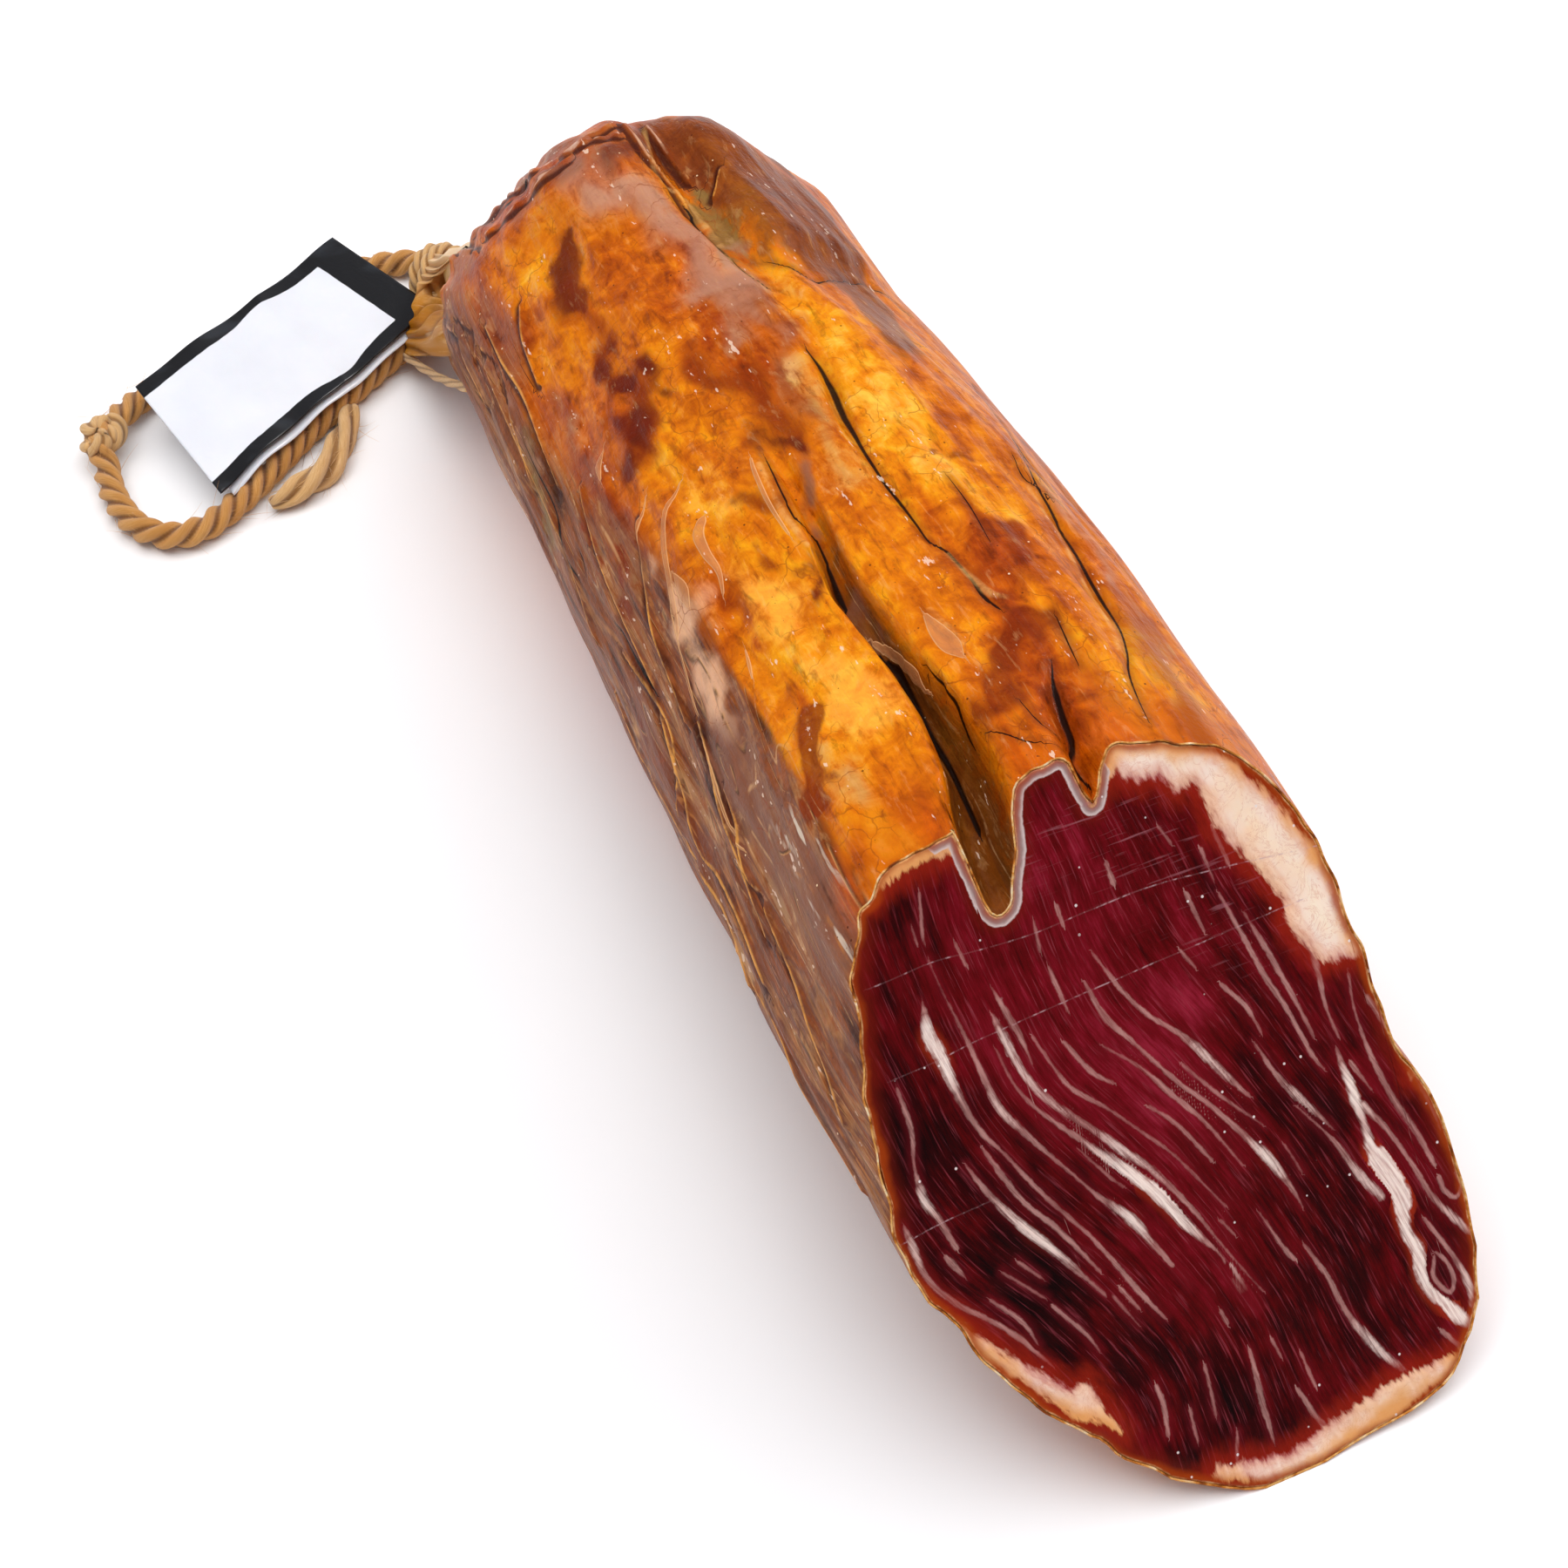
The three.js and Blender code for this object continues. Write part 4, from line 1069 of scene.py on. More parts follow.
# Painted glow: near the cut, on skin that faces up, the casing is painted a deeper orange, as light through
# its thin edge.
painted_glow = 0.75 * smooth(16.0, 3.0, to_cut) * smooth(0.1, 0.7, skin_out[..., 2])
values = {
    "crease_side": crease_side, "crease_half": crease_half, "crease_far": crease_far,
    "sliver_side": sliver_side, "sliver_half": sliver_half, "sliver_far": sliver_far,
    "film_fold_side": film_fold_side, "film_fold_half": film_fold_half, "film_fold_far": film_fold_far,
    "ridge_far": ridge_far, "tone": tone, **paints, "dashed": dashed, "gutter_shade": gutter_shade, "painted_glow": painted_glow,
    "tied_end": smooth(-62.0, -84.0, x), "shaded_flank": shaded_flank, "neck": neck_share,
}
values = {name: carried(value) for name, value in values.items()}
values["lip"] = np.concatenate([np.zeros_like(x), np.ones((len(lip), columns))])
casing_faces = grid_faces(casing_rows, columns)
# The neck closes in one point, and the shell's inner end in one flat face behind the cut.
tip = casing_rows * columns
tip_faces = [np.array([(k + 1) % columns, k, tip]) for k in range(columns)]
inner_cap = close_tube(casing_rows, columns)[1]
casing = put_mesh(
    "loin_casing", np.vstack([casing_points.reshape(-1, 3), NECK_POINT]), casing_faces, None,
    [*tip_faces, inner_cap],
    {name: np.append(value.ravel(), value[0, 0]) for name, value in values.items()},
)
print(f"casing: {len(casing.data.polygons)} faces")

# %% [markdown]
# ## The gathered casing at the tie
# Past the loin's end the empty casing is drawn together and bound. It dries into a stiff, thin,
# pleated fan, straw where it is doubled over and amber where it is a single film. The fan is a
# surface between two lines, one on the loin's end and one along the binding, and it is given
# pleats and a thickness. A thread of it has come loose below.

# %% Fan and thread
FAN_ON_LOIN = [(542, 268), (530, 290), (520, 325), (519, 360), (524, 390), (533, 412)]
FAN_ON_TIE = [
    (494, 292, 10.0), (486, 308, 9.5), (478, 335, 8.5), (471, 362, 6.5), (466, 386, 4.8), (466, 408, 3.2),
]
THREAD_ON_TIE, THREAD_ON_LOIN = (466, 409, 3.0), (540, 447)
FAN_ROWS, FAN_COLUMNS, FAN_PLEATS = 40, 130, 8.0
# How deep the pleats are, how thick the film is, and how far its root dips into the loin.
FAN_DEPTH, FAN_THICKNESS, FAN_ROOT = 0.55, 0.35, 2.0
THREAD_DIAMETER, THREAD_LAY, THREAD_SAG = 1.5, 30.0, 1.0


def at_height(marks):
    """Where the ray through each pixel is at the height given with it."""
    marks = np.array(marks, float)
    return on_plane(marks, UPWARD, marks[..., 2])


on_loin = spline(seen_places(FAN_ON_LOIN, skin, skin_out)[0], FAN_COLUMNS - 1)
on_tie = spline(at_height(FAN_ON_TIE), FAN_COLUMNS - 1)
s, w = np.meshgrid(np.linspace(0, 1, FAN_ROWS), np.linspace(0, 1, FAN_COLUMNS), indexing="ij")
drawn = blend(on_loin[None], on_tie[None], (s**0.8)[..., None])
outward = unit(np.cross(np.gradient(drawn, axis=1), np.gradient(drawn, axis=0)))
outward *= np.sign((outward * back).sum(-1, keepdims=True))
pleats = np.sin(2 * np.pi * FAN_PLEATS * (w + 0.06 * np.sin(5 * s + 9 * w)))
sag = -1.2 * np.sin(np.pi * s) * (1 - 0.5 * w)
lift = FAN_DEPTH * pleats * (0.3 + 0.7 * np.sin(np.pi * s)) + sag - FAN_ROOT * (1 - s) ** 6
drawn = drawn + lift[..., None] * outward
fan_points = round_trip(drawn + FAN_THICKNESS / 2 * outward, drawn - FAN_THICKNESS / 2 * outward)
fan_points[..., 2] = np.maximum(fan_points[..., 2], 0.2)
fan_values = {"along_fan": s, "down_fan": w, "pleat": pleats}
fan = put_mesh(
    "neck_fan", fan_points, grid_faces(FAN_ROWS, 2 * FAN_COLUMNS), None,
    close_tube(FAN_ROWS, 2 * FAN_COLUMNS),
    {name: round_trip(value, value) for name, value in fan_values.items()},
)
thread_start = at_height(THREAD_ON_TIE)
thread_end = seen_places([THREAD_ON_LOIN], skin, skin_out)[0][0]
thread_middle = (thread_start + thread_end) / 2 - THREAD_SAG * UPWARD
thread_path = spline([thread_start, thread_middle, thread_end], 60)
thread = laid_rope("neck_thread", thread_path, THREAD_DIAMETER, THREAD_LAY, UPWARD, columns=18)
print(f"the fan of dry casing is {np.linalg.norm(on_loin[0] - on_loin[-1]):.0f} mm wide at the loin")

# %% Dry gathered casing
dry_casing, add = new_material("dry_gathered_casing")
along_fan, down_fan, pleat = (add("Attribute", attribute_name=name) for name in fan_values)
drawn_place = add("Mapping", add("CombineXYZ", along_fan, down_fan), (0.5, 6, 1))
strands = add("TexNoise", drawn_place, 4.0, 5, 0.65, 0.6)
lower = add("Math", strands, 0.5, down_fan, **TIMES_PLUS)
colour = add("ValToRGB", lower, stops=[
    (0.3, "#e8c496"), (0.6, "#d8a466"), (0.8, "#bc7c22"), (1.0, "#a86408"), (1.2, "#b87820"),
])
shaded = add("MapRange", pleat, -0.2, -1.0, 0, 0.6, **SOFT)
pale = add("MapRange", strands, 0.55, 0.68, 0, 0.6)
for factor, tint in ((shaded, "#7a4208"), (pale, "#e6c08c")):
    colour = add("Mix", factor, colour, tint)
bump = add("Bump", 0.6, 0.3 * MM, strands)
add("OutputMaterial", add("BsdfPrincipled", {
    "Base Color": colour, "Roughness": 0.45, "Specular IOR Level": 0.2, "Normal": bump,
    "Subsurface Weight": 0.2, "Subsurface Radius": (1.0, 0.5, 0.15), "Subsurface Scale": 0.8 * MM,
}))
fan.data.materials.append(dry_casing)
thread.data.materials.append(jute_end)
print(f"{dry_casing.name}: {len(dry_casing.node_tree.nodes)} nodes")

# %% [markdown]
# ## The cut face
# The blade left a flat slanted face of lean meat, with fat round the upper edge and thin seams
# of fat between the muscle's bundles. Two ways to make such marbling are a picture and a noise.
# A picture would only ever fit one view, and a noise has no order in it, so each seam is drawn as
# a line with a changing width, and the fine grain between them follows the seams' direction.


# %% Face grid
def to_cut_plane(pixels):
    """Where pixels of the picture fall on the plane of the cut."""
    pixels = np.asarray(pixels, float)
    return on_plane(pixels, CUT_NORMAL, CUT_TOE * CUT_NORMAL[0])


# The face is cut into strips from its upper edge to its lower one, closest where the edges are
# steep. They lie just inside the casing's outline.
FACE_STRIPS, FACE_ROWS, FACE_INSET = 340, 250, 0.35
ring = outline + FACE_INSET * inward
left_most, right_most = ring[:, 1].argmin(), ring[:, 1].argmax()
upper = np.roll(ring, -right_most, axis=0)[:(left_most - right_most) % columns + 1][::-1]
lower = np.roll(ring, -left_most, axis=0)[:(right_most - left_most) % columns + 1]
upper_y, lower_y = np.maximum.accumulate(upper[:, 1]), np.maximum.accumulate(lower[:, 1])
spacing = running_length(upper[:, 1:]) + 0.25 * np.interp(upper_y, lower_y, running_length(lower[:, 1:]))
strip_y = np.interp(np.linspace(0, spacing[-1], FACE_STRIPS), spacing, upper_y)
strip_y = blend(strip_y, np.linspace(upper_y[0], upper_y[-1], FACE_STRIPS), 0.25)
top_z = np.interp(strip_y, upper_y, upper[:, 2])
bottom_z = np.interp(strip_y, lower_y, lower[:, 2])
s = np.linspace(0, 1, FACE_ROWS)[:, None]
face_z = blend(bottom_z, top_z, s)
face_y = np.broadcast_to(strip_y, face_z.shape)
face = np.stack([CUT_TOE - CUT_SLOPE * face_z, face_y, face_z], axis=-1)
stretch_z = np.hypot(1, CUT_SLOPE)
print(f"the face is {np.ptp(strip_y):.0f} mm wide and {np.ptp(face_z) * stretch_z:.0f} mm long")

# %% Seams of fat: pixel across, pixel down and full width in pixels
SEAMS = [
    [(1059, 1151, 2), (1066, 1190, 16), (1080, 1213, 16), (1100, 1257, 8), (1123, 1296, 6), (1153, 1325, 3),
     (1181, 1355, 5), (1208, 1381, 4), (1247, 1415, 4), (1277, 1447, 5), (1302, 1477, 6), (1337, 1513, 3)],
    [(1030, 1250, 3), (1046, 1296, 6), (1050, 1339, 3), (1061, 1378, 11), (1073, 1394, 8), (1098, 1433, 6)],
    [(1086, 1443, 5), (1096, 1454, 7), (1107, 1466, 2)],
    [(1038, 1408, 2), (1047, 1429, 9), (1066, 1470, 6), (1100, 1498, 6), (1137, 1516, 5), (1174, 1539, 6),
     (1208, 1568, 2)],
    [(1137, 1493, 3), (1174, 1518, 5), (1192, 1544, 2)],
    [(1067, 1103, 1), (1086, 1147, 2), (1109, 1192, 4), (1128, 1234, 6), (1148, 1273, 9), (1181, 1305, 6),
     (1210, 1330, 4), (1243, 1358, 3), (1261, 1374, 5), (1298, 1399, 12), (1325, 1429, 7), (1366, 1476, 3)],
    [(1139, 1165, 3), (1151, 1190, 10), (1176, 1234, 9), (1210, 1268, 8), (1249, 1293, 7), (1286, 1319, 10),
     (1323, 1344, 8), (1368, 1387, 5), (1398, 1424, 3), (1449, 1482, 2)],
    [(1139, 1135, 2), (1155, 1163, 7), (1171, 1190, 6), (1185, 1222, 1)],
    [(1143, 1204, 2), (1164, 1245, 3), (1190, 1273, 4), (1222, 1296, 5), (1256, 1319, 9), (1293, 1344, 14),
     (1330, 1371, 16), (1364, 1408, 11), (1401, 1440, 3), (1421, 1477, 6), (1442, 1502, 2)],
    [(1238, 1319, 2), (1270, 1348, 3), (1289, 1362, 2)],
    [(1185, 1190, 3), (1206, 1220, 3), (1231, 1250, 5), (1272, 1273, 3), (1311, 1300, 3), (1350, 1328, 3),
     (1407, 1385, 2)],
    [(1222, 1197, 4), (1254, 1231, 5), (1277, 1243, 3)],
    [(1204, 1110, 3), (1210, 1126, 5), (1226, 1161, 3)],
    [(1266, 1201, 2), (1307, 1224, 3), (1346, 1257, 6), (1384, 1289, 4), (1426, 1337, 2)],
    [(1318, 1270, 3), (1350, 1290, 4), (1391, 1332, 4)],
    [(1245, 1128, 3), (1270, 1170, 7), (1305, 1200, 4), (1350, 1241, 5), (1391, 1270, 5), (1430, 1305, 7),
     (1456, 1330, 12), (1483, 1364, 5), (1495, 1385, 2)],
    [(1254, 1094, 2), (1286, 1135, 5), (1318, 1165, 5), (1350, 1184, 5), (1378, 1206, 9), (1407, 1234, 8),
     (1435, 1259, 3)],
    [(1357, 1222, 3), (1396, 1254, 4), (1449, 1291, 2)],
    [(1403, 1131, 5), (1433, 1158, 5), (1449, 1186, 2)],
    [(1440, 1197, 2), (1465, 1234, 6), (1497, 1266, 9), (1530, 1296, 2)],
    [(1488, 1270, 2), (1527, 1305, 4), (1557, 1344, 9), (1586, 1374, 10)],
    [(1398, 1025, 3), (1426, 1073, 5), (1451, 1119, 6), (1479, 1161, 5), (1504, 1208, 5), (1519, 1227, 2)],
    [(1428, 1048, 2), (1456, 1094, 6), (1483, 1142, 5), (1508, 1190, 3)],
    [(1497, 1073, 12), (1508, 1097, 9), (1520, 1151, 4), (1536, 1190, 3)],
    [(1547, 1117, 3), (1557, 1167, 3), (1577, 1220, 6), (1600, 1263, 7), (1626, 1300, 7), (1646, 1337, 5)],
    [(1570, 1145, 7), (1593, 1179, 7), (1609, 1190, 4)],
    [(1534, 1204, 3), (1550, 1247, 13), (1566, 1293, 9), (1573, 1319, 18), (1586, 1337, 30),
     (1609, 1374, 24), (1614, 1415, 14), (1626, 1433, 17), (1635, 1472, 16), (1665, 1502, 18),
     (1684, 1518, 14)],
    [(1550, 1220, 6), (1573, 1250, 2)],
    [(1564, 1268, 9), (1596, 1302, 5), (1621, 1337, 5), (1644, 1374, 7), (1681, 1408, 9), (1694, 1417, 6)],
    [(1626, 1238, 5), (1646, 1277, 3), (1653, 1296, 2)],
    [(1651, 1351, 6), (1658, 1367, 6), (1671, 1374, 5), (1678, 1360, 5), (1671, 1346, 4)],
    [(1635, 1399, 4), (1665, 1438, 6), (1687, 1475, 10), (1690, 1498, 6)],
    [(1648, 1438, 4), (1660, 1447, 5), (1669, 1466, 5), (1665, 1484, 5), (1646, 1466, 5), (1646, 1442, 4)],
    [(1497, 1429, 3), (1524, 1466, 6), (1545, 1505, 6), (1578, 1546, 11), (1620, 1579, 5)],
    [(1446, 1392, 2), (1472, 1431, 5), (1485, 1445, 5)], [(1474, 1314, 2), (1495, 1346, 2)],
    [(1401, 1401, 3), (1417, 1417, 3)],
    [(1128, 1319, 3), (1151, 1351, 6), (1178, 1383, 5), (1213, 1410, 6), (1262, 1459, 3)],
    [(1109, 1339, 3), (1137, 1374, 7), (1174, 1408, 11), (1210, 1436, 11), (1249, 1470, 4), (1270, 1488, 3)],
    [(1055, 1025, 3), (1059, 1073, 4), (1062, 1083, 2)], [(1047, 1066, 2), (1054, 1085, 3)],
    [(1097, 1083, 3), (1109, 1108, 4)], [(1186, 1057, 3), (1194, 1092, 4)],
    [(1213, 1041, 5), (1220, 1062, 4)], [(1270, 991, 4), (1279, 1014, 6)], [(1330, 949, 3), (1344, 968, 3)],
    [(1361, 1025, 5), (1382, 1069, 3)], [(1392, 952, 4), (1410, 991, 4)], [(1378, 975, 4), (1392, 1009, 2)],
    [(1355, 1092, 4), (1371, 1110, 3)], [(1151, 1461, 3), (1201, 1491, 2)],
    [(1169, 1449, 4), (1197, 1468, 2)], [(1208, 1499, 4), (1245, 1530, 4), (1261, 1550, 2)],
    [(1286, 1479, 5), (1307, 1502, 3)], [(1275, 1486, 3), (1307, 1521, 2)],
    [(1327, 1591, 5), (1336, 1614, 6), (1341, 1648, 4)], [(1384, 1568, 4), (1396, 1625, 3)],
    [(1366, 1618, 4), (1375, 1655, 3)], [(1435, 1550, 4), (1449, 1609, 7), (1463, 1656, 3)],
    [(1461, 1538, 4), (1471, 1558, 3)], [(1494, 1554, 3), (1510, 1591, 4)],
    [(1490, 1595, 5), (1512, 1628, 6), (1541, 1652, 4)],
    [(1412, 1452, 8), (1427, 1477, 6), (1443, 1503, 3)], [(1402, 1505, 4), (1410, 1520, 4)],
    [(1614, 1579, 3), (1620, 1599, 4)], [(1655, 1528, 6), (1686, 1554, 4)],
    [(1350, 1459, 3), (1366, 1477, 4)], [(1420, 1644, 3), (1420, 1677, 4)],
]
FACE_PIXELS_PER_MM, FACE_PIECES = 8.9, 5


def face_lines(seams):
    """Each seam as a smooth line on the cut plane, with its half width in millimetres."""
    lines = []
    for seam in seams:
        fine = spline(seam, FACE_PIECES * (len(seam) - 1))
        lines.append(np.column_stack([to_cut_plane(fine), fine[:, 2] / 2 / FACE_PIXELS_PER_MM]))
    return lines


seam_lines = face_lines(SEAMS)
vein_side, vein_half, vein_far, vein_margin = line_field(face, seam_lines, CUT_NORMAL)
print(f"{len(SEAMS)} seams of fat on the face")

# %% Fat, rims and saw marks
FAT_PATCHES = [
    [(1007, 988), (1020, 958), (1082, 940), (1092, 955), (1096, 977), (1057, 991), (1020, 1010),
     (1000, 1030)],
    [(1245, 850), (1280, 830), (1350, 840), (1410, 870), (1470, 925), (1520, 985), (1560, 1060),
     (1565, 1095), (1520, 1103), (1497, 1083), (1479, 1062), (1474, 1032), (1451, 1004), (1426, 979),
     (1394, 949), (1387, 922), (1368, 897), (1350, 908), (1330, 890), (1311, 896), (1288, 892), (1281, 885),
     (1262, 903)],
    [(1619, 1220), (1637, 1227), (1644, 1236), (1621, 1236)],
    [(1226, 1595), (1247, 1586), (1270, 1621), (1286, 1644), (1258, 1630), (1231, 1609)],
]
FAT_BANDS = [
    [(1400, 1690, 14), (1441, 1688, 22), (1484, 1684, 34), (1527, 1658, 42), (1563, 1632, 38),
     (1598, 1608, 40), (1627, 1588, 30), (1663, 1568, 20), (1690, 1545, 12)],
    [(1058, 1500, 10), (1100, 1530, 16), (1150, 1562, 16), (1201, 1592, 18), (1245, 1618, 26)],
]
# Along these parts of the rim a clear wet band lies inside the skin, and scratches cross the
# next ones: pixels, half width in mm and amount.
CLEAR_RIM = [
    ([(1088, 945), (1101, 990), (1115, 1035), (1142, 1052), (1168, 1015), (1160, 955), (1162, 905)],
     3.2, 1.0),
    ([(1165, 900), (1206, 895), (1250, 922), (1272, 950), (1262, 905)], 3.0, 1.0),
]
SCRATCHED = [
    ([(1180, 950), (1240, 940)], 5.0, 1.0), ([(1300, 960), (1360, 1000), (1420, 1060)], 6.0, 1.0),
]
CLEAR_WIDTH = 1.5
# Where the lean is rosier (above 0) or darker (below 0): pixels, half width in mm and amount.
ROSE = [
    ([(1180, 1120), (1250, 1150), (1330, 1180)], 12.0, 0.6),
    ([(1300, 1300), (1360, 1360), (1420, 1420)], 8.0, 0.25), ([(1230, 1010), (1330, 1030)], 7.0, 0.15),
    ([(1030, 1040), (1030, 1150), (1040, 1280)], 5.0, -0.35),
    ([(1070, 1320), (1110, 1420), (1180, 1480)], 7.0, -0.75),
    ([(1240, 1520), (1330, 1580), (1420, 1620)], 8.0, -0.4),
    ([(1500, 1430), (1540, 1480), (1580, 1530)], 7.0, -0.3),
    ([(1440, 1180), (1500, 1300), (1540, 1400)], 6.0, -0.3), ([(1360, 960), (1440, 1050)], 4.0, -0.2),
]
SAW_MARKS = [
    [(1024, 1241, 1), (1073, 1220, 1), (1132, 1190, 1), (1240, 1142, 1), (1370, 1086, 1), (1500, 1030, 1)],
    [(997, 1135, 1), (1068, 1106, 1), (1112, 1094, 1), (1183, 1073, 1), (1254, 1044, 1), (1350, 1009, 1),
     (1560, 960, 1)],
    [(1031, 1431, 1), (1082, 1404, 1), (1137, 1378, 1)],
]


def inside_distance(points, polygon):
    """Distance to a polygon's edge on the cut plane, positive inside it. A point is inside when
    a line from it to one side crosses the edge an odd number of times."""
    corners = to_cut_plane(polygon)[:, 1:]
    flat = points.reshape(-1, 3)[:, 1:]
    after = np.roll(corners, -1, axis=0)
    step = after - corners
    offset = flat[:, None] - corners
    t = np.clip((offset * step).sum(-1) / (step**2).sum(-1), 0, 1)
    gap = offset - t[..., None] * step
    distance = np.hypot(gap[..., 0], gap[..., 1] * stretch_z).min(1)
    spans = (corners[:, 1] > flat[:, None, 1]) != (after[:, 1] > flat[:, None, 1])
    rise = np.where(np.abs(step[:, 1]) < 1e-9, 1e-9, step[:, 1])
    crossing = corners[:, 0] + offset[..., 1] / rise * step[:, 0]
    odd = (spans & (flat[:, None, 0] < crossing)).sum(1) % 2 == 1
    return np.where(odd, distance, -distance).reshape(points.shape[:-1])


fat = np.full(face.shape[:-1], -9.0)
for patch in FAT_PATCHES:
    fat = np.maximum(fat, inside_distance(face, patch))
_, band_half, band_far, _ = line_field(face, face_lines(FAT_BANDS), CUT_NORMAL)
fat = np.maximum(fat, band_half - band_far)
saw_side, _, saw_far, _ = line_field(face, face_lines(SAW_MARKS), CUT_NORMAL)
rim_line = np.column_stack([np.vstack([outline, outline[:1]]), np.zeros(columns + 1)])
_, _, rim, _ = line_field(face, [rim_line[k:k + 30] for k in range(0, columns, 29)], CUT_NORMAL, reach=8.0)
rose, clear_share, scratched = (
    stroke_field(face, [(to_cut_plane(pixels), half, amount) for pixels, half, amount in dabs])
    for dabs in (ROSE, CLEAR_RIM, SCRATCHED)
)
clear_rim = np.where(rim < 4, CLEAR_WIDTH * smooth(0.25, 0.55, clear_share) - rim, -9.0)

# %% [markdown]
# The grain needs two numbers at each point of the face, one that grows across the muscle's
# fibres and one that grows along them. The seams say which way the fibres run, so their
# directions are averaged over the face, and the two numbers are the smooth surfaces whose slopes
# come closest to those directions (a Poisson equation, solved by a Fourier transform).

# %% Grain of the meat
FIELD = 96
low_corner, high_corner = face[..., 1:].min((0, 1)), face[..., 1:].max((0, 1))
field_y, field_z = np.meshgrid(*np.linspace(low_corner, high_corner, FIELD).T, indexing="ij")
spots = np.concatenate([line[:-1, 1:3] for line in seam_lines])
runs = np.concatenate([np.diff(line[:, 1:3], axis=0) for line in seam_lines]) * [1, stretch_z]
runs = unit(runs) * np.sign(runs[:, 1:] + 1e-9) * -1
apart = (field_y[..., None] - spots[:, 0]) ** 2 + ((field_z[..., None] - spots[:, 1]) * stretch_z) ** 2
pull = 1 / (apart + 6.0) ** 1.5
flow = unit(np.einsum("abk,kc->abc", pull, runs))
cell = np.array([field_y[1, 0] - field_y[0, 0], (field_z[0, 1] - field_z[0, 0]) * stretch_z])


def surface_with_slope(slope):
    """The surface whose steps between neighbouring cells come closest to a wanted slope. The
    sums of wanted steps at each cell are mirrored, and divided by what a step costs each wave."""
    step_y = 0.5 * (slope[1:, :, 0] + slope[:-1, :, 0]) / cell[0]
    step_z = 0.5 * (slope[:, 1:, 1] + slope[:, :-1, 1]) / cell[1]
    wanted = np.zeros((FIELD, FIELD))
    wanted[:-1] -= step_y
    wanted[1:] += step_y
    wanted[:, :-1] -= step_z
    wanted[:, 1:] += step_z
    mirrored = np.concatenate([wanted, wanted[::-1]], axis=0)
    mirrored = np.concatenate([mirrored, mirrored[:, ::-1]], axis=1)
    wave = 2 - 2 * np.cos(2 * np.pi * np.fft.fftfreq(2 * FIELD))
    cost = wave[:, None] / cell[0] ** 2 + wave[None, :] / cell[1] ** 2
    cost[0, 0] = 1.0
    return np.fft.ifft2(np.fft.fft2(mirrored) / cost).real[:FIELD, :FIELD]


def read_field(values, y, z):
    """A value of the field between its cells, by straight mixing of the four round it."""
    share = (np.stack([y, z], axis=-1) - low_corner) / (high_corner - low_corner)
    place = np.clip(share * (FIELD - 1), 0, FIELD - 1.001)
    i, j = np.moveaxis(place.astype(int), -1, 0)
    a, b = place[..., 0] - i, place[..., 1] - j
    lower_mix = blend(values[i, j], values[i + 1, j], a)
    return blend(lower_mix, blend(values[i, j + 1], values[i + 1, j + 1], a), b)


with_fibres = read_field(surface_with_slope(flow), face_y, face_z)
across_flow = np.stack([-flow[..., 1], flow[..., 0]], axis=-1)
over_fibres = read_field(surface_with_slope(across_flow), face_y, face_z)

# %% The face as a closed piece
SKIRT = 1.2
# Seams and fat stand a little proud, because lean meat shrinks more as it dries.
face_relief = (
    0.07 * np.clip(vein_half * 3, 0, 1) * np.exp(-((vein_far / np.maximum(vein_half, 0.12)) ** 2))
    + 0.12 * smooth(0.0, 0.8, fat)
    + 0.10 * ripples(face, 11, 30, 6, 22, 1.0)
)
face_front = face + (face_relief * smooth(0.0, 1.5, rim))[..., None] * CUT_NORMAL
grid = grid_faces(FACE_ROWS, FACE_STRIPS, round_columns=False)
count = FACE_ROWS * FACE_STRIPS
numbers = np.arange(count).reshape(FACE_ROWS, FACE_STRIPS)
border = np.concatenate([numbers[0], numbers[1:, -1], numbers[-1, -2::-1], numbers[-2:0:-1, 0]])
skirt_points = face_front.reshape(-1, 3)[border] - SKIRT * CUT_NORMAL
skirt_points[:, 2] = np.maximum(skirt_points[:, 2], 0)
skirt_numbers = count + np.arange(len(border))
skirt_faces = [np.roll(border, -1), border, skirt_numbers, np.roll(skirt_numbers, -1)]
faces = np.concatenate([grid, np.stack(skirt_faces, axis=-1)])


def with_skirt(value):
    """An attribute of the face, repeated down its skirt."""
    flat = value.ravel()
    return np.concatenate([flat, flat[border]])


face_uv = np.stack([with_skirt(over_fibres), with_skirt(with_fibres)], axis=-1)
face_values = {
    "vein_side": vein_side, "vein_half": vein_half, "vein_far": vein_far, "vein_margin": vein_margin,
    "fat": fat, "rim": rim, "clear_rim": clear_rim, "rose": rose, "scratched": scratched,
    "saw_side": saw_side, "saw_far": saw_far,
}
cut = put_mesh(
    "loin_cut", np.vstack([face_front.reshape(-1, 3), skirt_points]), faces, None, [skirt_numbers[::-1]],
    {name: with_skirt(value) for name, value in face_values.items()}, face_uv[faces],
)
print(f"cut face: {len(cut.data.polygons)} faces")

# %% [markdown]
# ## The casing's finish
# Natural casing dries to a clear amber skin, like varnish over what lies under it: fat shows
# through as pale gold, lean meat as rust and mauve. So its colour is mixed from several tones,
# light travels a little way inside it, and a smooth clear layer on top gives it its gloss.

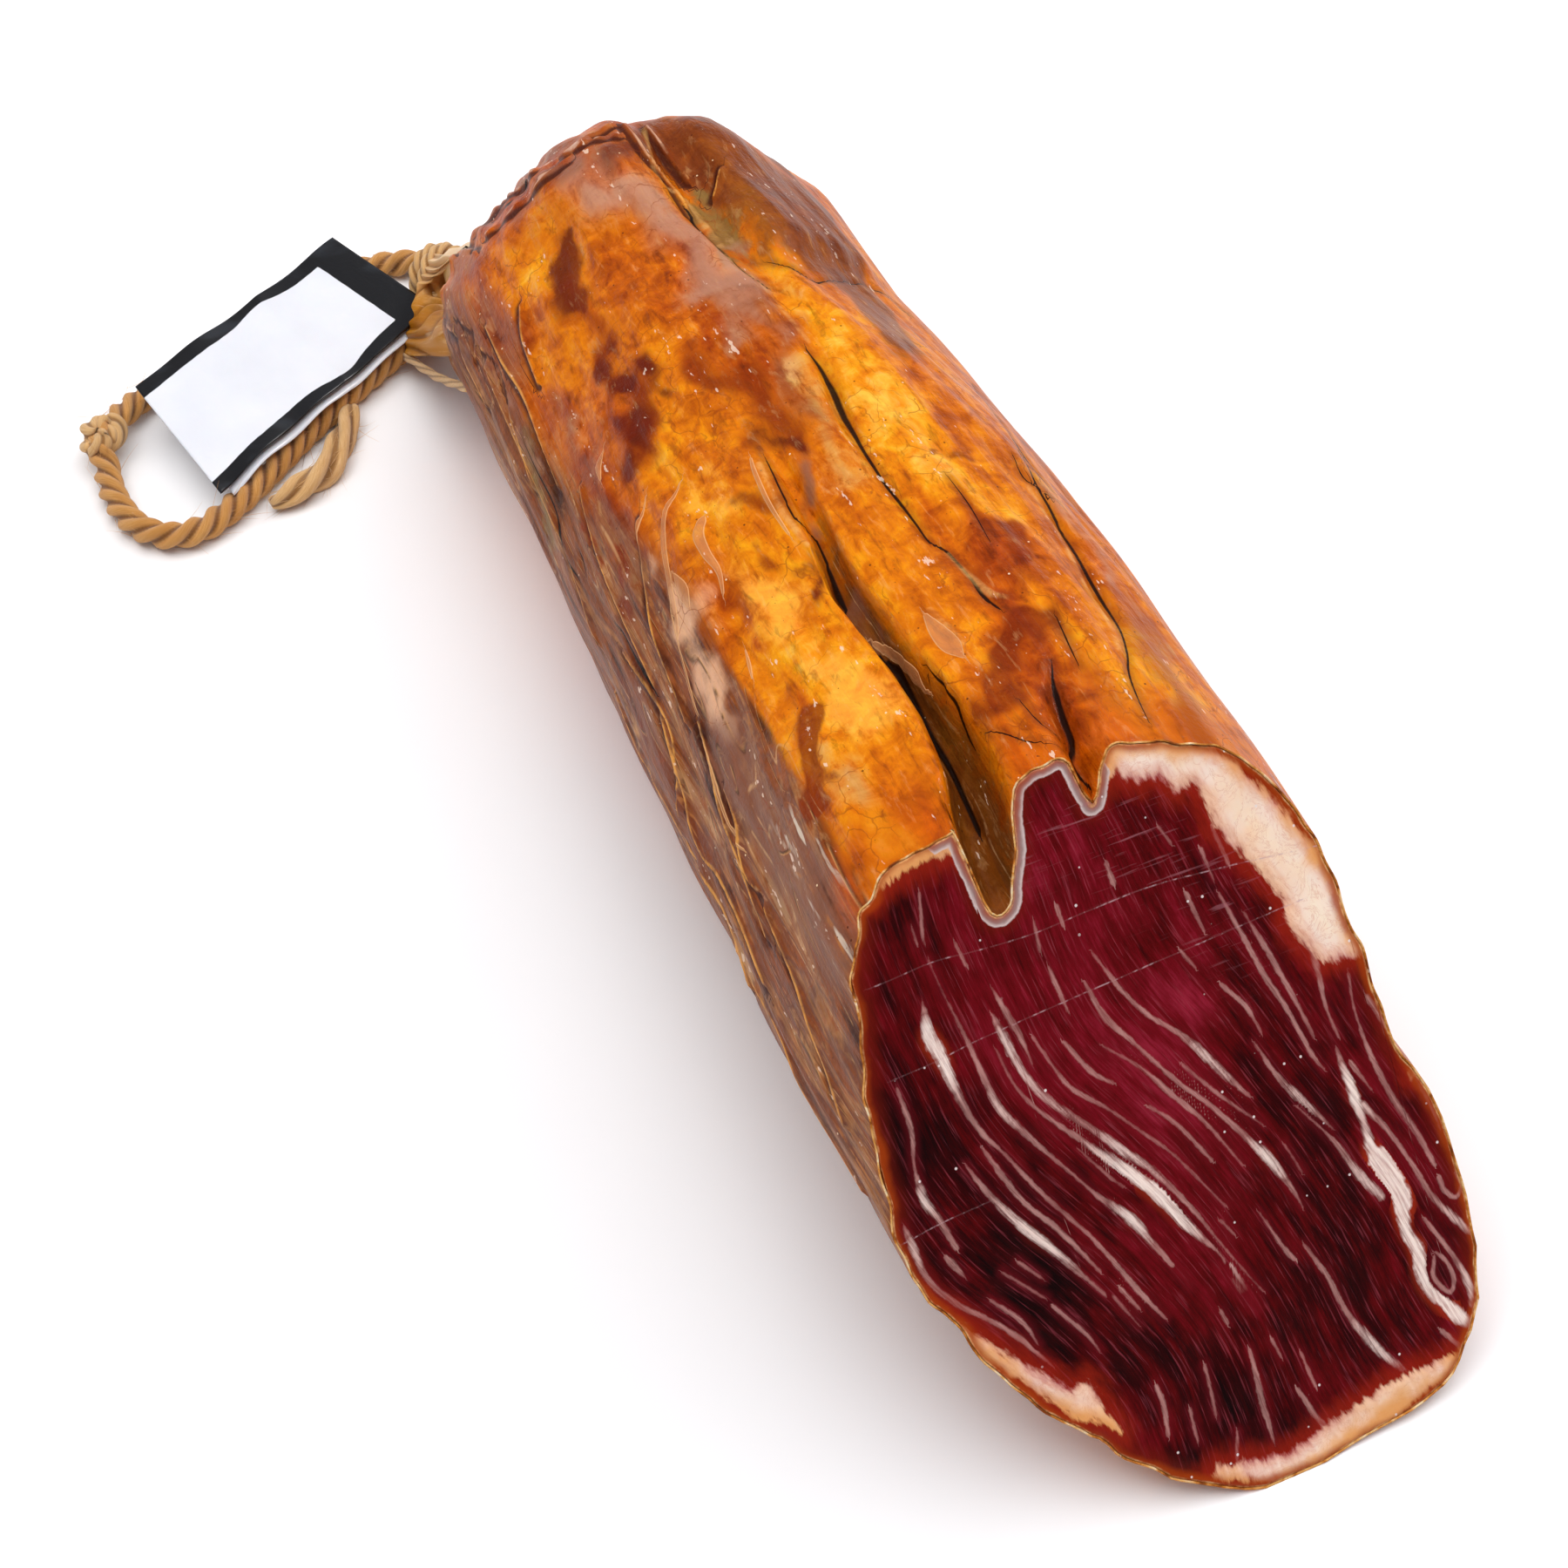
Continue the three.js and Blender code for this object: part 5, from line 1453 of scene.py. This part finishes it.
# %% Natural casing
natural_casing, add = new_material("dried_natural_casing")
place = add("TexCoord")
lengthwise = add("Mapping", place, (0.28, 1, 1))
ribbon_place = add("Mapping", place, (0.1, 1, 1))
long_mottle = add("TexNoise", lengthwise, per(7), 5, 0.62, 0.6)
mottle = add("TexNoise", place, per(3.6), 5, 0.62, 0.6)
wide = add("TexNoise", lengthwise, per(20), 2)
ribbons = add("TexNoise", ribbon_place, per(4.0), 4, 0.6, 0.4)
sheets = add("TexNoise", add("Mapping", place, (0.045, 1, 1)), per(4.5), 1, 0.4)
reads = {name: add("Attribute", attribute_name=name) for name in values}
fine = add("TexNoise", lengthwise, per(1.5), 4, 0.66, 0.4)
tone_sum = reads["tone"]
for source, amount in ((long_mottle, 1.5), (mottle, 0.95), (fine, 0.45), (wide, 1.0)):
    centred = add("Math", source, 0.5, **MINUS)
    tone_sum = add("Math", centred, amount, tone_sum, **TIMES_PLUS)
tone_place = add("MapRange", tone_sum, -1.1, 1.1)
colour = add("ValToRGB", tone_place, stops=[
    (0.0, "#461604"), (0.16, "#762806"), (0.32, "#a03e04"), (0.46, "#be5a04"),
    (0.58, "#d67404"), (0.72, "#e8920e"), (0.86, "#f2ac3e"), (1.0, "#f4c078"),
])
print(f"{len(natural_casing.node_tree.nodes)} nodes so far")

# %% Flank and paints
jitter = add("Math", fine, 0.9, add("Math", mottle, 1.5, -0.75, **TIMES_PLUS), **TIMES_PLUS)
jitter = add("Math", jitter, 0.45, **MINUS)
# The flank: ribbons of mauve lean, grey film and tan fat along the body, darker as painted shade.
ribbon_tint = add("ValToRGB", ribbons, stops=[
    (0.32, "#2c100a"), (0.4, "#5e2c14"), (0.45, "#86441c"), (0.5, "#6e4232"),
    (0.55, "#9c6840"), (0.6, "#8a481c"), (0.66, "#b48458"),
])
flank_share = add("Math", jitter, 0.5, reads["shaded_flank"], **TIMES_PLUS)
flank_share = add("MapRange", flank_share, 0.15, 0.75, 0, 0.95, **SOFT)
colour = add("Mix", flank_share, colour, ribbon_tint)
streaky = add("Math", ribbons, 2.2, -1.1, **TIMES_PLUS)
streaky = add("Math", streaky, reads["shaded_flank"], jitter, **TIMES_PLUS)
layers = {
    **{name: paint[:3] for name, paint in PAINTS.items()},
    "painted_glow": ("#b84a02", 0.1, 1.2), "neck": ("#c89a54", 0.1, 1.1), "gutter_shade": ("#4a2c10", 0.2, 0.9),
}
for name, (shade, low, high) in layers.items():
    amount = add("Math", streaky, 0.75, reads[name], **TIMES_PLUS)
    amount = add("MapRange", amount, low, high, 0, 0.8, **SOFT)
    amount = add("Math", amount, add("MapRange", reads[name], 0.02, 0.15), **TIMES)
    colour = add("Mix", amount, colour, shade)
# One clouded grey laid over every tone keeps each of them from being flat.
colour = add("Mix", 0.42, colour, add("MapRange", mottle, 0.3, 0.7, 0.2, 0.8), blend_type="OVERLAY")
# Fine streaks darken and lighten every tone along the body.
for low, high, most, tint in ((0.44, 0.3, 0.4, "#401606"), (0.58, 0.74, 0.25, "#f0b878")):
    colour = add("Mix", add("MapRange", fine, low, high, 0, most), colour, tint)
for name, (shade, low, high, _) in FILMS.items():
    amount = add("Math", streaky, 0.4, reads[name], **TIMES_PLUS)
    amount = add("MapRange", amount, low, high, 0, 0.72, **SOFT)
    colour = add("Mix", amount, colour, shade)
print(f"{len(natural_casing.node_tree.nodes)} nodes so far")

# %% Edges and folds of film
# Edges of film: long thin lines along the levels of a stretched noise.
lining = add("MapRange", reads["shaded_flank"], 0.0, 0.6, 0.05, 0.7)
for level, tint in ((0.5, "#d0965c"), (0.506, "#2a120a"), (0.6, "#c89868"), (0.41, "#b47038")):
    away = add("Math", add("Math", sheets, level, **MINUS), **SIZE)
    line = add("Math", add("MapRange", away, 0.01, 0.003), lining, **TIMES)
    part = add("MapRange", mottle, 0.42, 0.58)
    line = add("Math", line, part, **TIMES)
    colour = add("Mix", line, colour, tint)
# Folds of film: painted highlight along the crest, painted shade in the hollow beside it.
fold_hollow_shade = add("Math", add("Math", reads["film_fold_side"], 0.9, **MINUS), **SIZE)
fold_hollow_shade = add("MapRange", fold_hollow_shade, 0.85, 0.15, 0, 0.9, **SOFT)
crest_highlight = add("Math", reads["film_fold_half"], reads["film_fold_far"], **MINUS)
crest_highlight = add("MapRange", crest_highlight, -0.16, 0.06, **SOFT)
crest_highlight = add("Math", crest_highlight, add("MapRange", mottle, 0.36, 0.56, 0.3, 0.95), **TIMES)
dashes = add("TexNoise", add("Mapping", place, (0.12, 1, 1)), per(1.3), 2, 0.5)
dashes = add("Math", add("MapRange", dashes, 0.6, 0.66, 0, 0.85), reads["dashed"], **TIMES)
crest_highlight_tint = add("Mix", reads["tied_end"], "#e09a44", "#cba088")
for factor, tint in ((fold_hollow_shade, "#40150a"), (crest_highlight, crest_highlight_tint), (dashes, "#dccab4")):
    colour = add("Mix", factor, colour, tint)
print(f"{len(natural_casing.node_tree.nodes)} nodes so far")

# %% Specks and cracks
# Spice and pores: dark specks 0.15 to 0.4 mm across. Drops of fat: pale specks, fewer.
SPECKS = [
    (2.3, 0.085, 0.35, "#4a1c08", 0.8), (1.2, 0.1, 0.45, "#6a2c0a", 0.6), (3.1, 0.06, 0.6, "#f8dcb0", 0.8),
]
for spacing, size, low, tint, most in SPECKS:
    cells = add("TexVoronoi", place, per(spacing))
    speck = add("MapRange", cells, size, size * 0.55, 0, most, **SOFT)
    chance = add("SeparateColor", cells.node.outputs["Color"])
    some = add("MapRange", chance, low, low + 0.05)
    speck = add("Math", speck, some, **TIMES)
    colour = add("Mix", speck, colour, tint)
# Hair cracks, only in some patches: the borders between bent cells.
bend = add("TexNoise", place, per(3), 2, out=1)
bent_place = add("VectorMath", bend, (0.003, 0.003, 0.003), place, **TIMES_PLUS)
crack = add("TexVoronoi", bent_place, per(5.5), feature="DISTANCE_TO_EDGE")
crack = add("MapRange", crack, 0.022, 0.006)
cracked = add("MapRange", long_mottle, 0.5, 0.62, 0, 0.55)
crack = add("Math", crack, cracked, **TIMES)
colour = add("Mix", crack, colour, "#8a3a0c")
print(f"{len(natural_casing.node_tree.nodes)} nodes so far")

# %% Creases and slivers
# A crease is painted dark within its half width of the line as painted shade, and painted shade
# darkens the skin beside it.
side = add("Math", reads["crease_side"], **SIZE)
ratio = add("Math", side, reads["crease_half"], operation="DIVIDE")
dark = add("MapRange", ratio, 1.2, 0.5, 0, 0.95, **SOFT)
reach = add("MapRange", reads["crease_far"], 1.4, 1.0)
dark = add("Math", dark, reach, **TIMES)
shade = add("MapRange", reads["crease_far"], 1.5, 0.0, 0, 0.4, **SOFT)
# Painted highlight: the ridges are painted pale, broken by the mottle.
ridge_broken = add("MapRange", mottle, 0.42, 0.6, 0.1, 0.6)
ridge_highlight = add("MapRange", reads["ridge_far"], 0.7, 0.1, **SOFT)
ridge_highlight = add("Math", ridge_highlight, ridge_broken, **TIMES)
lip_tint = add("ValToRGB", mottle, stops=[
    (0.36, "#7a3a10"), (0.46, "#c07a30"), (0.54, "#dcaa68"), (0.64, "#ecd2aa"),
])
# Slivers of loose film lie on the skin, tan and with a crisp pale border.
side = add("Math", reads["sliver_side"], **SIZE)
inside = add("Math", reads["sliver_half"], side, **MINUS)
reach = add("MapRange", reads["sliver_far"], 1.8, 1.5)
sliver = add("Math", add("MapRange", inside, -0.03, 0.05, 0, 0.5), reach, **TIMES)
sliver_edge = add("MapRange", add("Math", inside, **SIZE), 0.1, 0.03, 0, 0.7)
sliver_edge = add("Math", sliver_edge, reach, **TIMES)
lines = [
    (shade, "#5a2408"), (dark, "#0c0402"), (ridge_highlight, "#e0a862"),
    (sliver, "#c88a5a"), (sliver_edge, "#ecb47c"), (reads["lip"], lip_tint),
]
for factor, tint in lines:
    colour = add("Mix", factor, colour, tint)
print(f"{len(natural_casing.node_tree.nodes)} nodes so far")

# %% Glints, wrinkles and gloss
# Glints: clusters of short bright flecks where the film is wet.
flecks = add("TexNoise", add("Mapping", place, (0.4, 1, 1)), per(0.9), 2, 0.6)
clusters = add("MapRange", ribbons, 0.5, 0.62, 0, 0.13)
flecks = add("MapRange", add("Math", flecks, clusters, **PLUS), 0.76, 0.8, 0, 0.6)
colour = add("Mix", flecks, colour, "#f4d8c0")
# Fine wrinkles run along the body; the film itself is smooth between them.
stretched = add("Mapping", place, (0.14, 1, 1))
wrinkles = add("TexNoise", stretched, per(1.7), 4, 0.55, 0.3)
height = add("Math", add("TexNoise", place, per(1.0), 3, 0.6), 0.45, wrinkles, **TIMES_PLUS)
height = add("Math", sliver, 0.7, height, **TIMES_PLUS)
bump = add("Bump", 0.7, 0.5 * MM, height)
gloss = add("MapRange", mottle, 0, 1, 0.3, 0.5)
add("OutputMaterial", add("BsdfPrincipled", {
    "Base Color": colour, "Roughness": gloss, "Specular IOR Level": 0.04, "Normal": bump,
    "Subsurface Weight": 0.12, "Subsurface Radius": (1.0, 0.4, 0.1), "Subsurface Scale": 1.0 * MM,
    "Coat Weight": 0.16, "Coat Roughness": 0.07, "Coat Normal": bump,
}))
casing.data.materials.append(natural_casing)
print(f"{natural_casing.name}: {len(natural_casing.node_tree.nodes)} nodes")

# %% [markdown]
# ## The cut meat's finish
# Cured lean is a dark, clear crimson, because it has lost water and holds its pigment. Its fat
# is white with a pink cast and a little less glossy. The blade pressed oil out over both.

# %% Cured meat
cured_meat, add = new_material("cured_pork_cut")
grain_place = add("UVMap", uv_map="grain")
place = add("TexCoord")
fine_place = add("Mapping", grain_place, (1.0, 0.07, 1))
bundle_place = add("Mapping", grain_place, (1.0, 0.14, 1))
fibre = add("TexNoise", fine_place, 2.4, 6, 0.7, 0.1)
bundles = add("TexNoise", bundle_place, 0.5, 3, 0.5)
clouds = add("TexNoise", place, per(12), 4, 0.6)
reads = {name: add("Attribute", attribute_name=name) for name in face_values}
tone_sum = add("Math", fibre, 0.8, -0.72, **TIMES_PLUS)
for source, amount in ((bundles, 0.8), (clouds, 0.9), (reads["rose"], 0.4)):
    tone_sum = add("Math", source, amount, tone_sum, **TIMES_PLUS)
colour = add("ValToRGB", tone_sum, stops=[
    (0.1, "#120000"), (0.36, "#320001"), (0.55, "#540204"), (0.75, "#6c0612"), (1.0, "#8e1c30"),
])
# Hair-thin pale streaks between the seams, where fat runs between single fibres.
hair = add("TexNoise", add("Mapping", grain_place, (1.0, 0.045, 1)), 3.0, 3, 0.6)
hair = add("MapRange", hair, 0.56, 0.72, 0, 0.55)
colour = add("Mix", hair, colour, "#983c48")
# Light glows orange-red through the meat next to the casing.
colour = add("Mix", add("MapRange", reads["rim"], 3.4, 0.6, 0, 0.75, **SOFT), colour, "#6e1606")
print(f"{len(cured_meat.node_tree.nodes)} nodes so far")

# %% Seams of fat in the lean
# A thin seam keeps its edge through its side, and a wide one through its depth.
waver = add("Math", add("TexNoise", place, per(1.2), 4, 0.6), 0.5, -0.27, **TIMES_PLUS)
frayed = add("Math", add("Math", fibre, 0.9, -0.5, **TIMES_PLUS), waver, **PLUS)
lumps = add("Math", add("TexNoise", place, per(3.4), 3, 0.6), 2.6, -1.3, **TIMES_PLUS)
frayed = add("Math", lumps, add("MapRange", reads["vein_half"], 0.7, 1.2), frayed, **TIMES_PLUS)
side = add("Math", reads["vein_side"], **SIZE)
depth = add("Math", add("Math", reads["vein_half"], side, **MINUS), waver, **PLUS)
thin_seam = add("MapRange", depth, -0.15, 0.14, **SOFT)
reach = add("Math", reads["vein_far"], reads["vein_half"], **MINUS)
near = add("MapRange", reach, 0.6, 0.4)
alone = add("MapRange", reads["vein_margin"], 0.45, 0.75)
for factor in (near, alone):
    thin_seam = add("Math", thin_seam, factor, **TIMES)
wide_seam = add("MapRange", add("Math", frayed, reach, **MINUS), -0.22, 0.4, **SOFT)
wide = add("MapRange", reads["vein_half"], 0.3, 0.45)
wide_seam = add("Math", wide_seam, wide, **TIMES)
thin_seam = add("Math", thin_seam, add("Math", 1.0, wide, **MINUS), **TIMES)
vein = add("Math", thin_seam, wide_seam, operation="MAXIMUM")
thick = add("MapRange", reads["vein_half"], 0.1, 0.7, 0.5, 0.95)
broken = add("MapRange", fibre, 0.34, 0.56, 0.4, 1.0)
broken = add("Math", broken, add("Math", wide, 0.5, **TIMES), operation="MAXIMUM")
for factor in (thick, broken):
    vein = add("Math", vein, factor, **TIMES)
vein_tint = add("ValToRGB", thick, stops=[(0.5, "#b06c6a"), (0.7, "#d8a89e"), (0.95, "#fae6da")])
colour = add("Mix", add("MapRange", reads["vein_far"], 1.5, 0.0, 0, 0.4, **SOFT), colour, "#78101c")
# Beside the widest seams light comes up through the fat, and the lean glows orange-red.
ember = add("MapRange", reads["vein_half"], 0.6, 1.1, 0, 0.75)
ember = add("Math", ember, add("MapRange", reach, 1.1, 0.0, **SOFT), **TIMES)
colour = add("Mix", ember, colour, "#a02c10")
colour = add("Mix", vein, colour, vein_tint)
print(f"{len(cured_meat.node_tree.nodes)} nodes so far")

# %% Fat along the edge
# It ends in fingers along the fibres, and is cracked and peach inside.
fingers = add("TexNoise", add("Mapping", grain_place, (1.0, 0.25, 1)), 1.3, 4, 0.6)
fingers = add("Math", fingers, 3.0, -1.4, **TIMES_PLUS)
fat_depth = add("Math", reads["fat"], fingers, **PLUS)
fatty = add("MapRange", fat_depth, -0.4, 0.35, **SOFT)
fat_tone = add("ValToRGB", add("MapRange", fat_depth, 0.0, 4.0), stops=[
    (0.0, "#b4605c"), (0.2, "#e4b4a0"), (0.5, "#f6dcca"), (1.0, "#fae4cc"),
])
# It is orange next to the casing, peach in clouds, and thin pink cracks cross it.
fat_cloud = add("MapRange", clouds, 0.42, 0.62, 0, 0.75)
fat_edge = add("Math", clouds, -9.0, reads["rim"], **TIMES_PLUS)
fat_edge = add("MapRange", fat_edge, -1.0, -4.0, 0, 0.85, **SOFT)
fat_cracks = add("Math", add("TexNoise", place, per(3.2), 5, 0.7, 1.2), 0.5, **MINUS)
fat_cracks = add("MapRange", add("Math", fat_cracks, **SIZE), 0.02, 0.004, 0, 0.45)
for factor, tint in ((fat_cloud, "#f6caa0"), (fat_cracks, "#d89a80"), (fat_edge, "#e49a50")):
    fat_tone = add("Mix", factor, fat_tone, tint)
colour = add("Mix", add("MapRange", fat_depth, -3.4, -0.2, 0, 0.7, **SOFT), colour, "#98200c")
colour = add("Mix", fatty, colour, fat_tone)
print(f"{len(cured_meat.node_tree.nodes)} nodes so far")

# %% Wet rim, saw marks and drops of oil
# A clear greyish band of wet connective tissue lines the notches.
clear = add("Math", waver, reads["clear_rim"], **PLUS)
clear_tint = add("Mix", add("MapRange", clear, 0.1, 0.5), "#d8c4be", "#9c8480")
clear = add("MapRange", clear, -0.12, 0.12, 0, 0.92, **SOFT)
colour = add("Mix", clear, colour, clear_tint)
# Painted glow: an orange band wanders just inside the rim, as light coming through the casing.
rim_wander = add("Math", reads["rim"], add("Math", clouds, 3.2, -1.7, **TIMES_PLUS), **PLUS)
painted_rim_glow = add("MapRange", rim_wander, 1.5, 0.3, 0, 0.8, **SOFT)
colour = add("Mix", painted_rim_glow, colour, "#a03c08")
line = add("MapRange", reads["rim"], 0.6, 0.4)
line = add("Math", line, add("MapRange", waver, -0.06, 0.06, 0.1, 0.9), **TIMES)
colour = add("Mix", line, colour, "#ecb87a")
# Marks of the saw: faint rows of pale dots across the face, painted glints along each mark.
saw_glint = add("MapRange", add("Math", reads["saw_side"], **SIZE), 0.13, 0.04, **SOFT)
saw_near = add("MapRange", reads["saw_far"], 0.8, 0.6)
dots = add("MapRange", add("TexNoise", place, per(1.0), 3), 0.5, 0.64, 0.06, 0.6)
for factor in (dots, saw_near):
    saw_glint = add("Math", saw_glint, factor, **TIMES)
# Scratches cross the fibres, and drops of oil catch the light as specks.
scratches = add("TexNoise", add("Mapping", place, (1, 0.07, 1), (0.4, 0.3, 0.6)), per(0.5), 2, 0.5)
scratches = add("Math", add("MapRange", scratches, 0.62, 0.74, 0, 0.4), reads["scratched"], **TIMES)
drops = add("TexVoronoi", place, per(2.6))
drop = add("MapRange", drops, 0.085, 0.05, **SOFT)
chance = add("SeparateColor", drops.node.outputs["Color"])
drop = add("Math", drop, add("MapRange", chance, 0.6, 0.66, 0, 0.85), **TIMES)
for factor, tint in ((saw_glint, "#c8a0a4"), (scratches, "#a86870"), (drop, "#ecdcd8")):
    colour = add("Mix", factor, colour, tint)
height = add("Math", vein, 0.5, fibre, **TIMES_PLUS)
bump = add("Bump", 0.35, 0.2 * MM, height)
wet = add("MapRange", fatty, 0, 1, 0.36, 0.45)
add("OutputMaterial", add("BsdfPrincipled", {
    "Base Color": colour, "Roughness": wet, "Specular IOR Level": 0.03, "Normal": bump,
    "Subsurface Weight": 0.1, "Subsurface Radius": (1.0, 0.3, 0.2), "Subsurface Scale": 0.8 * MM,
    "Coat Weight": 0.15, "Coat Roughness": 0.12, "Coat Normal": bump,
}))
cut.data.materials.append(cured_meat)
print(f"{cured_meat.name}: {len(cured_meat.node_tree.nodes)} nodes")

# %% [markdown]
# ## Everything in its place
# Each piece moves with one body, the root, and the solids of the loaded model that the pieces
# stand for are hidden.

# %% Riding and replacing
SLOTS = {
    "cured_meat": [casing, cut, fan, thread],
    "jute_rope": [rope, knot, tail, tie, rope_fibres, tail_fibres],
    "label_film": [front_leaf, back_leaf],
}
for slot, members in SLOTS.items():
    for piece in members:
        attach(piece, "root")
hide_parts("loin")
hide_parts("loin")
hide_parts("rope_upper", "rope_lower")
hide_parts("rope_knot")
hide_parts("rope_tail")
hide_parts("neck_tie")
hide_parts("label")
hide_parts("label")
print(f"{sum(len(members) for members in SLOTS.values())} pieces in {len(SLOTS)} finishes")

# %% [markdown]
# ## Studio
# The floor is a sheet of white paper. The key lamp is large, so the shadow's edge is soft, and a
# gloss would show it as a broad haze. So it only lights, and a small lamp at the same place is
# only seen in the gloss, as a crisp glint. Two more broad lamps hang over the loin and on its
# shaded side, and pale surroundings keep the shadow light.

# %% Floor, lamps and surroundings
FLOOR_HALF = 6000.0
floor_paper, add = new_material("white_paper_sweep")
place = add("TexCoord")
colour = add("Mix", add("TexNoise", place, per(30), 2), "#fbfbfb", "#f8f8f8")
paper_shader = add("BsdfPrincipled", {"Base Color": colour, "Roughness": 0.9, "Specular IOR Level": 0.05})
add("OutputMaterial", paper_shader)
floor_points = np.array([[-1, -1, 0], [1, -1, 0], [1, 1, 0], [-1, 1, 0]]) * FLOOR_HALF
floor = put_mesh("floor", floor_points, np.array([[0, 1, 2, 3]]), floor_paper, flat=True)


def soft_lamp(name, place, aim, size, watts, mirrored=False):
    """A square lamp at a place, turned towards the point it lights, in millimetres. A mirrored
    lamp is only seen in the gloss, and any other only lights the matter."""
    data = bpy.data.lights.new(name, "AREA")
    data.shape = "SQUARE"
    data.size = size * MM
    data.energy = watts
    lamp = bpy.data.objects.new(name, data)
    toward = unit(np.array(aim, float) - np.array(place, float))
    side_axis = unit(np.cross(toward, [0.01, 0.02, 1.0]))
    lamp.matrix_world = placed([side_axis, np.cross(side_axis, toward), -toward], place)
    lamp.visible_glossy, lamp.visible_diffuse = mirrored, not mirrored
    bpy.context.scene.collection.objects.link(lamp)
    return lamp


KEY_PLACE = (-600, 1400, 1400)
soft_lamp("key_lamp", KEY_PLACE, (0, 0, 30), 900, 9)
soft_lamp("glint_lamp", KEY_PLACE, (0, 0, 30), 280, 14, mirrored=True)
soft_lamp("top_lamp", (0, 20, 1900), (0, 0, 0), 2000, 30)
soft_lamp("fill_lamp", (-400, -1000, 1800), (0, 0, 30), 1300, 10)
world = bpy.data.worlds.new("studio")
world.use_nodes = True
surroundings = world.node_tree.nodes["Background"].inputs
surroundings["Color"].default_value, surroundings["Strength"].default_value = linear("#ebeaf4"), 0.4
bpy.context.scene.world = world
bpy.context.scene.view_settings.view_transform = "Standard"
print(f"a floor {2 * FLOOR_HALF / 1000:.0f} m wide and {len(bpy.data.lights)} lamps")
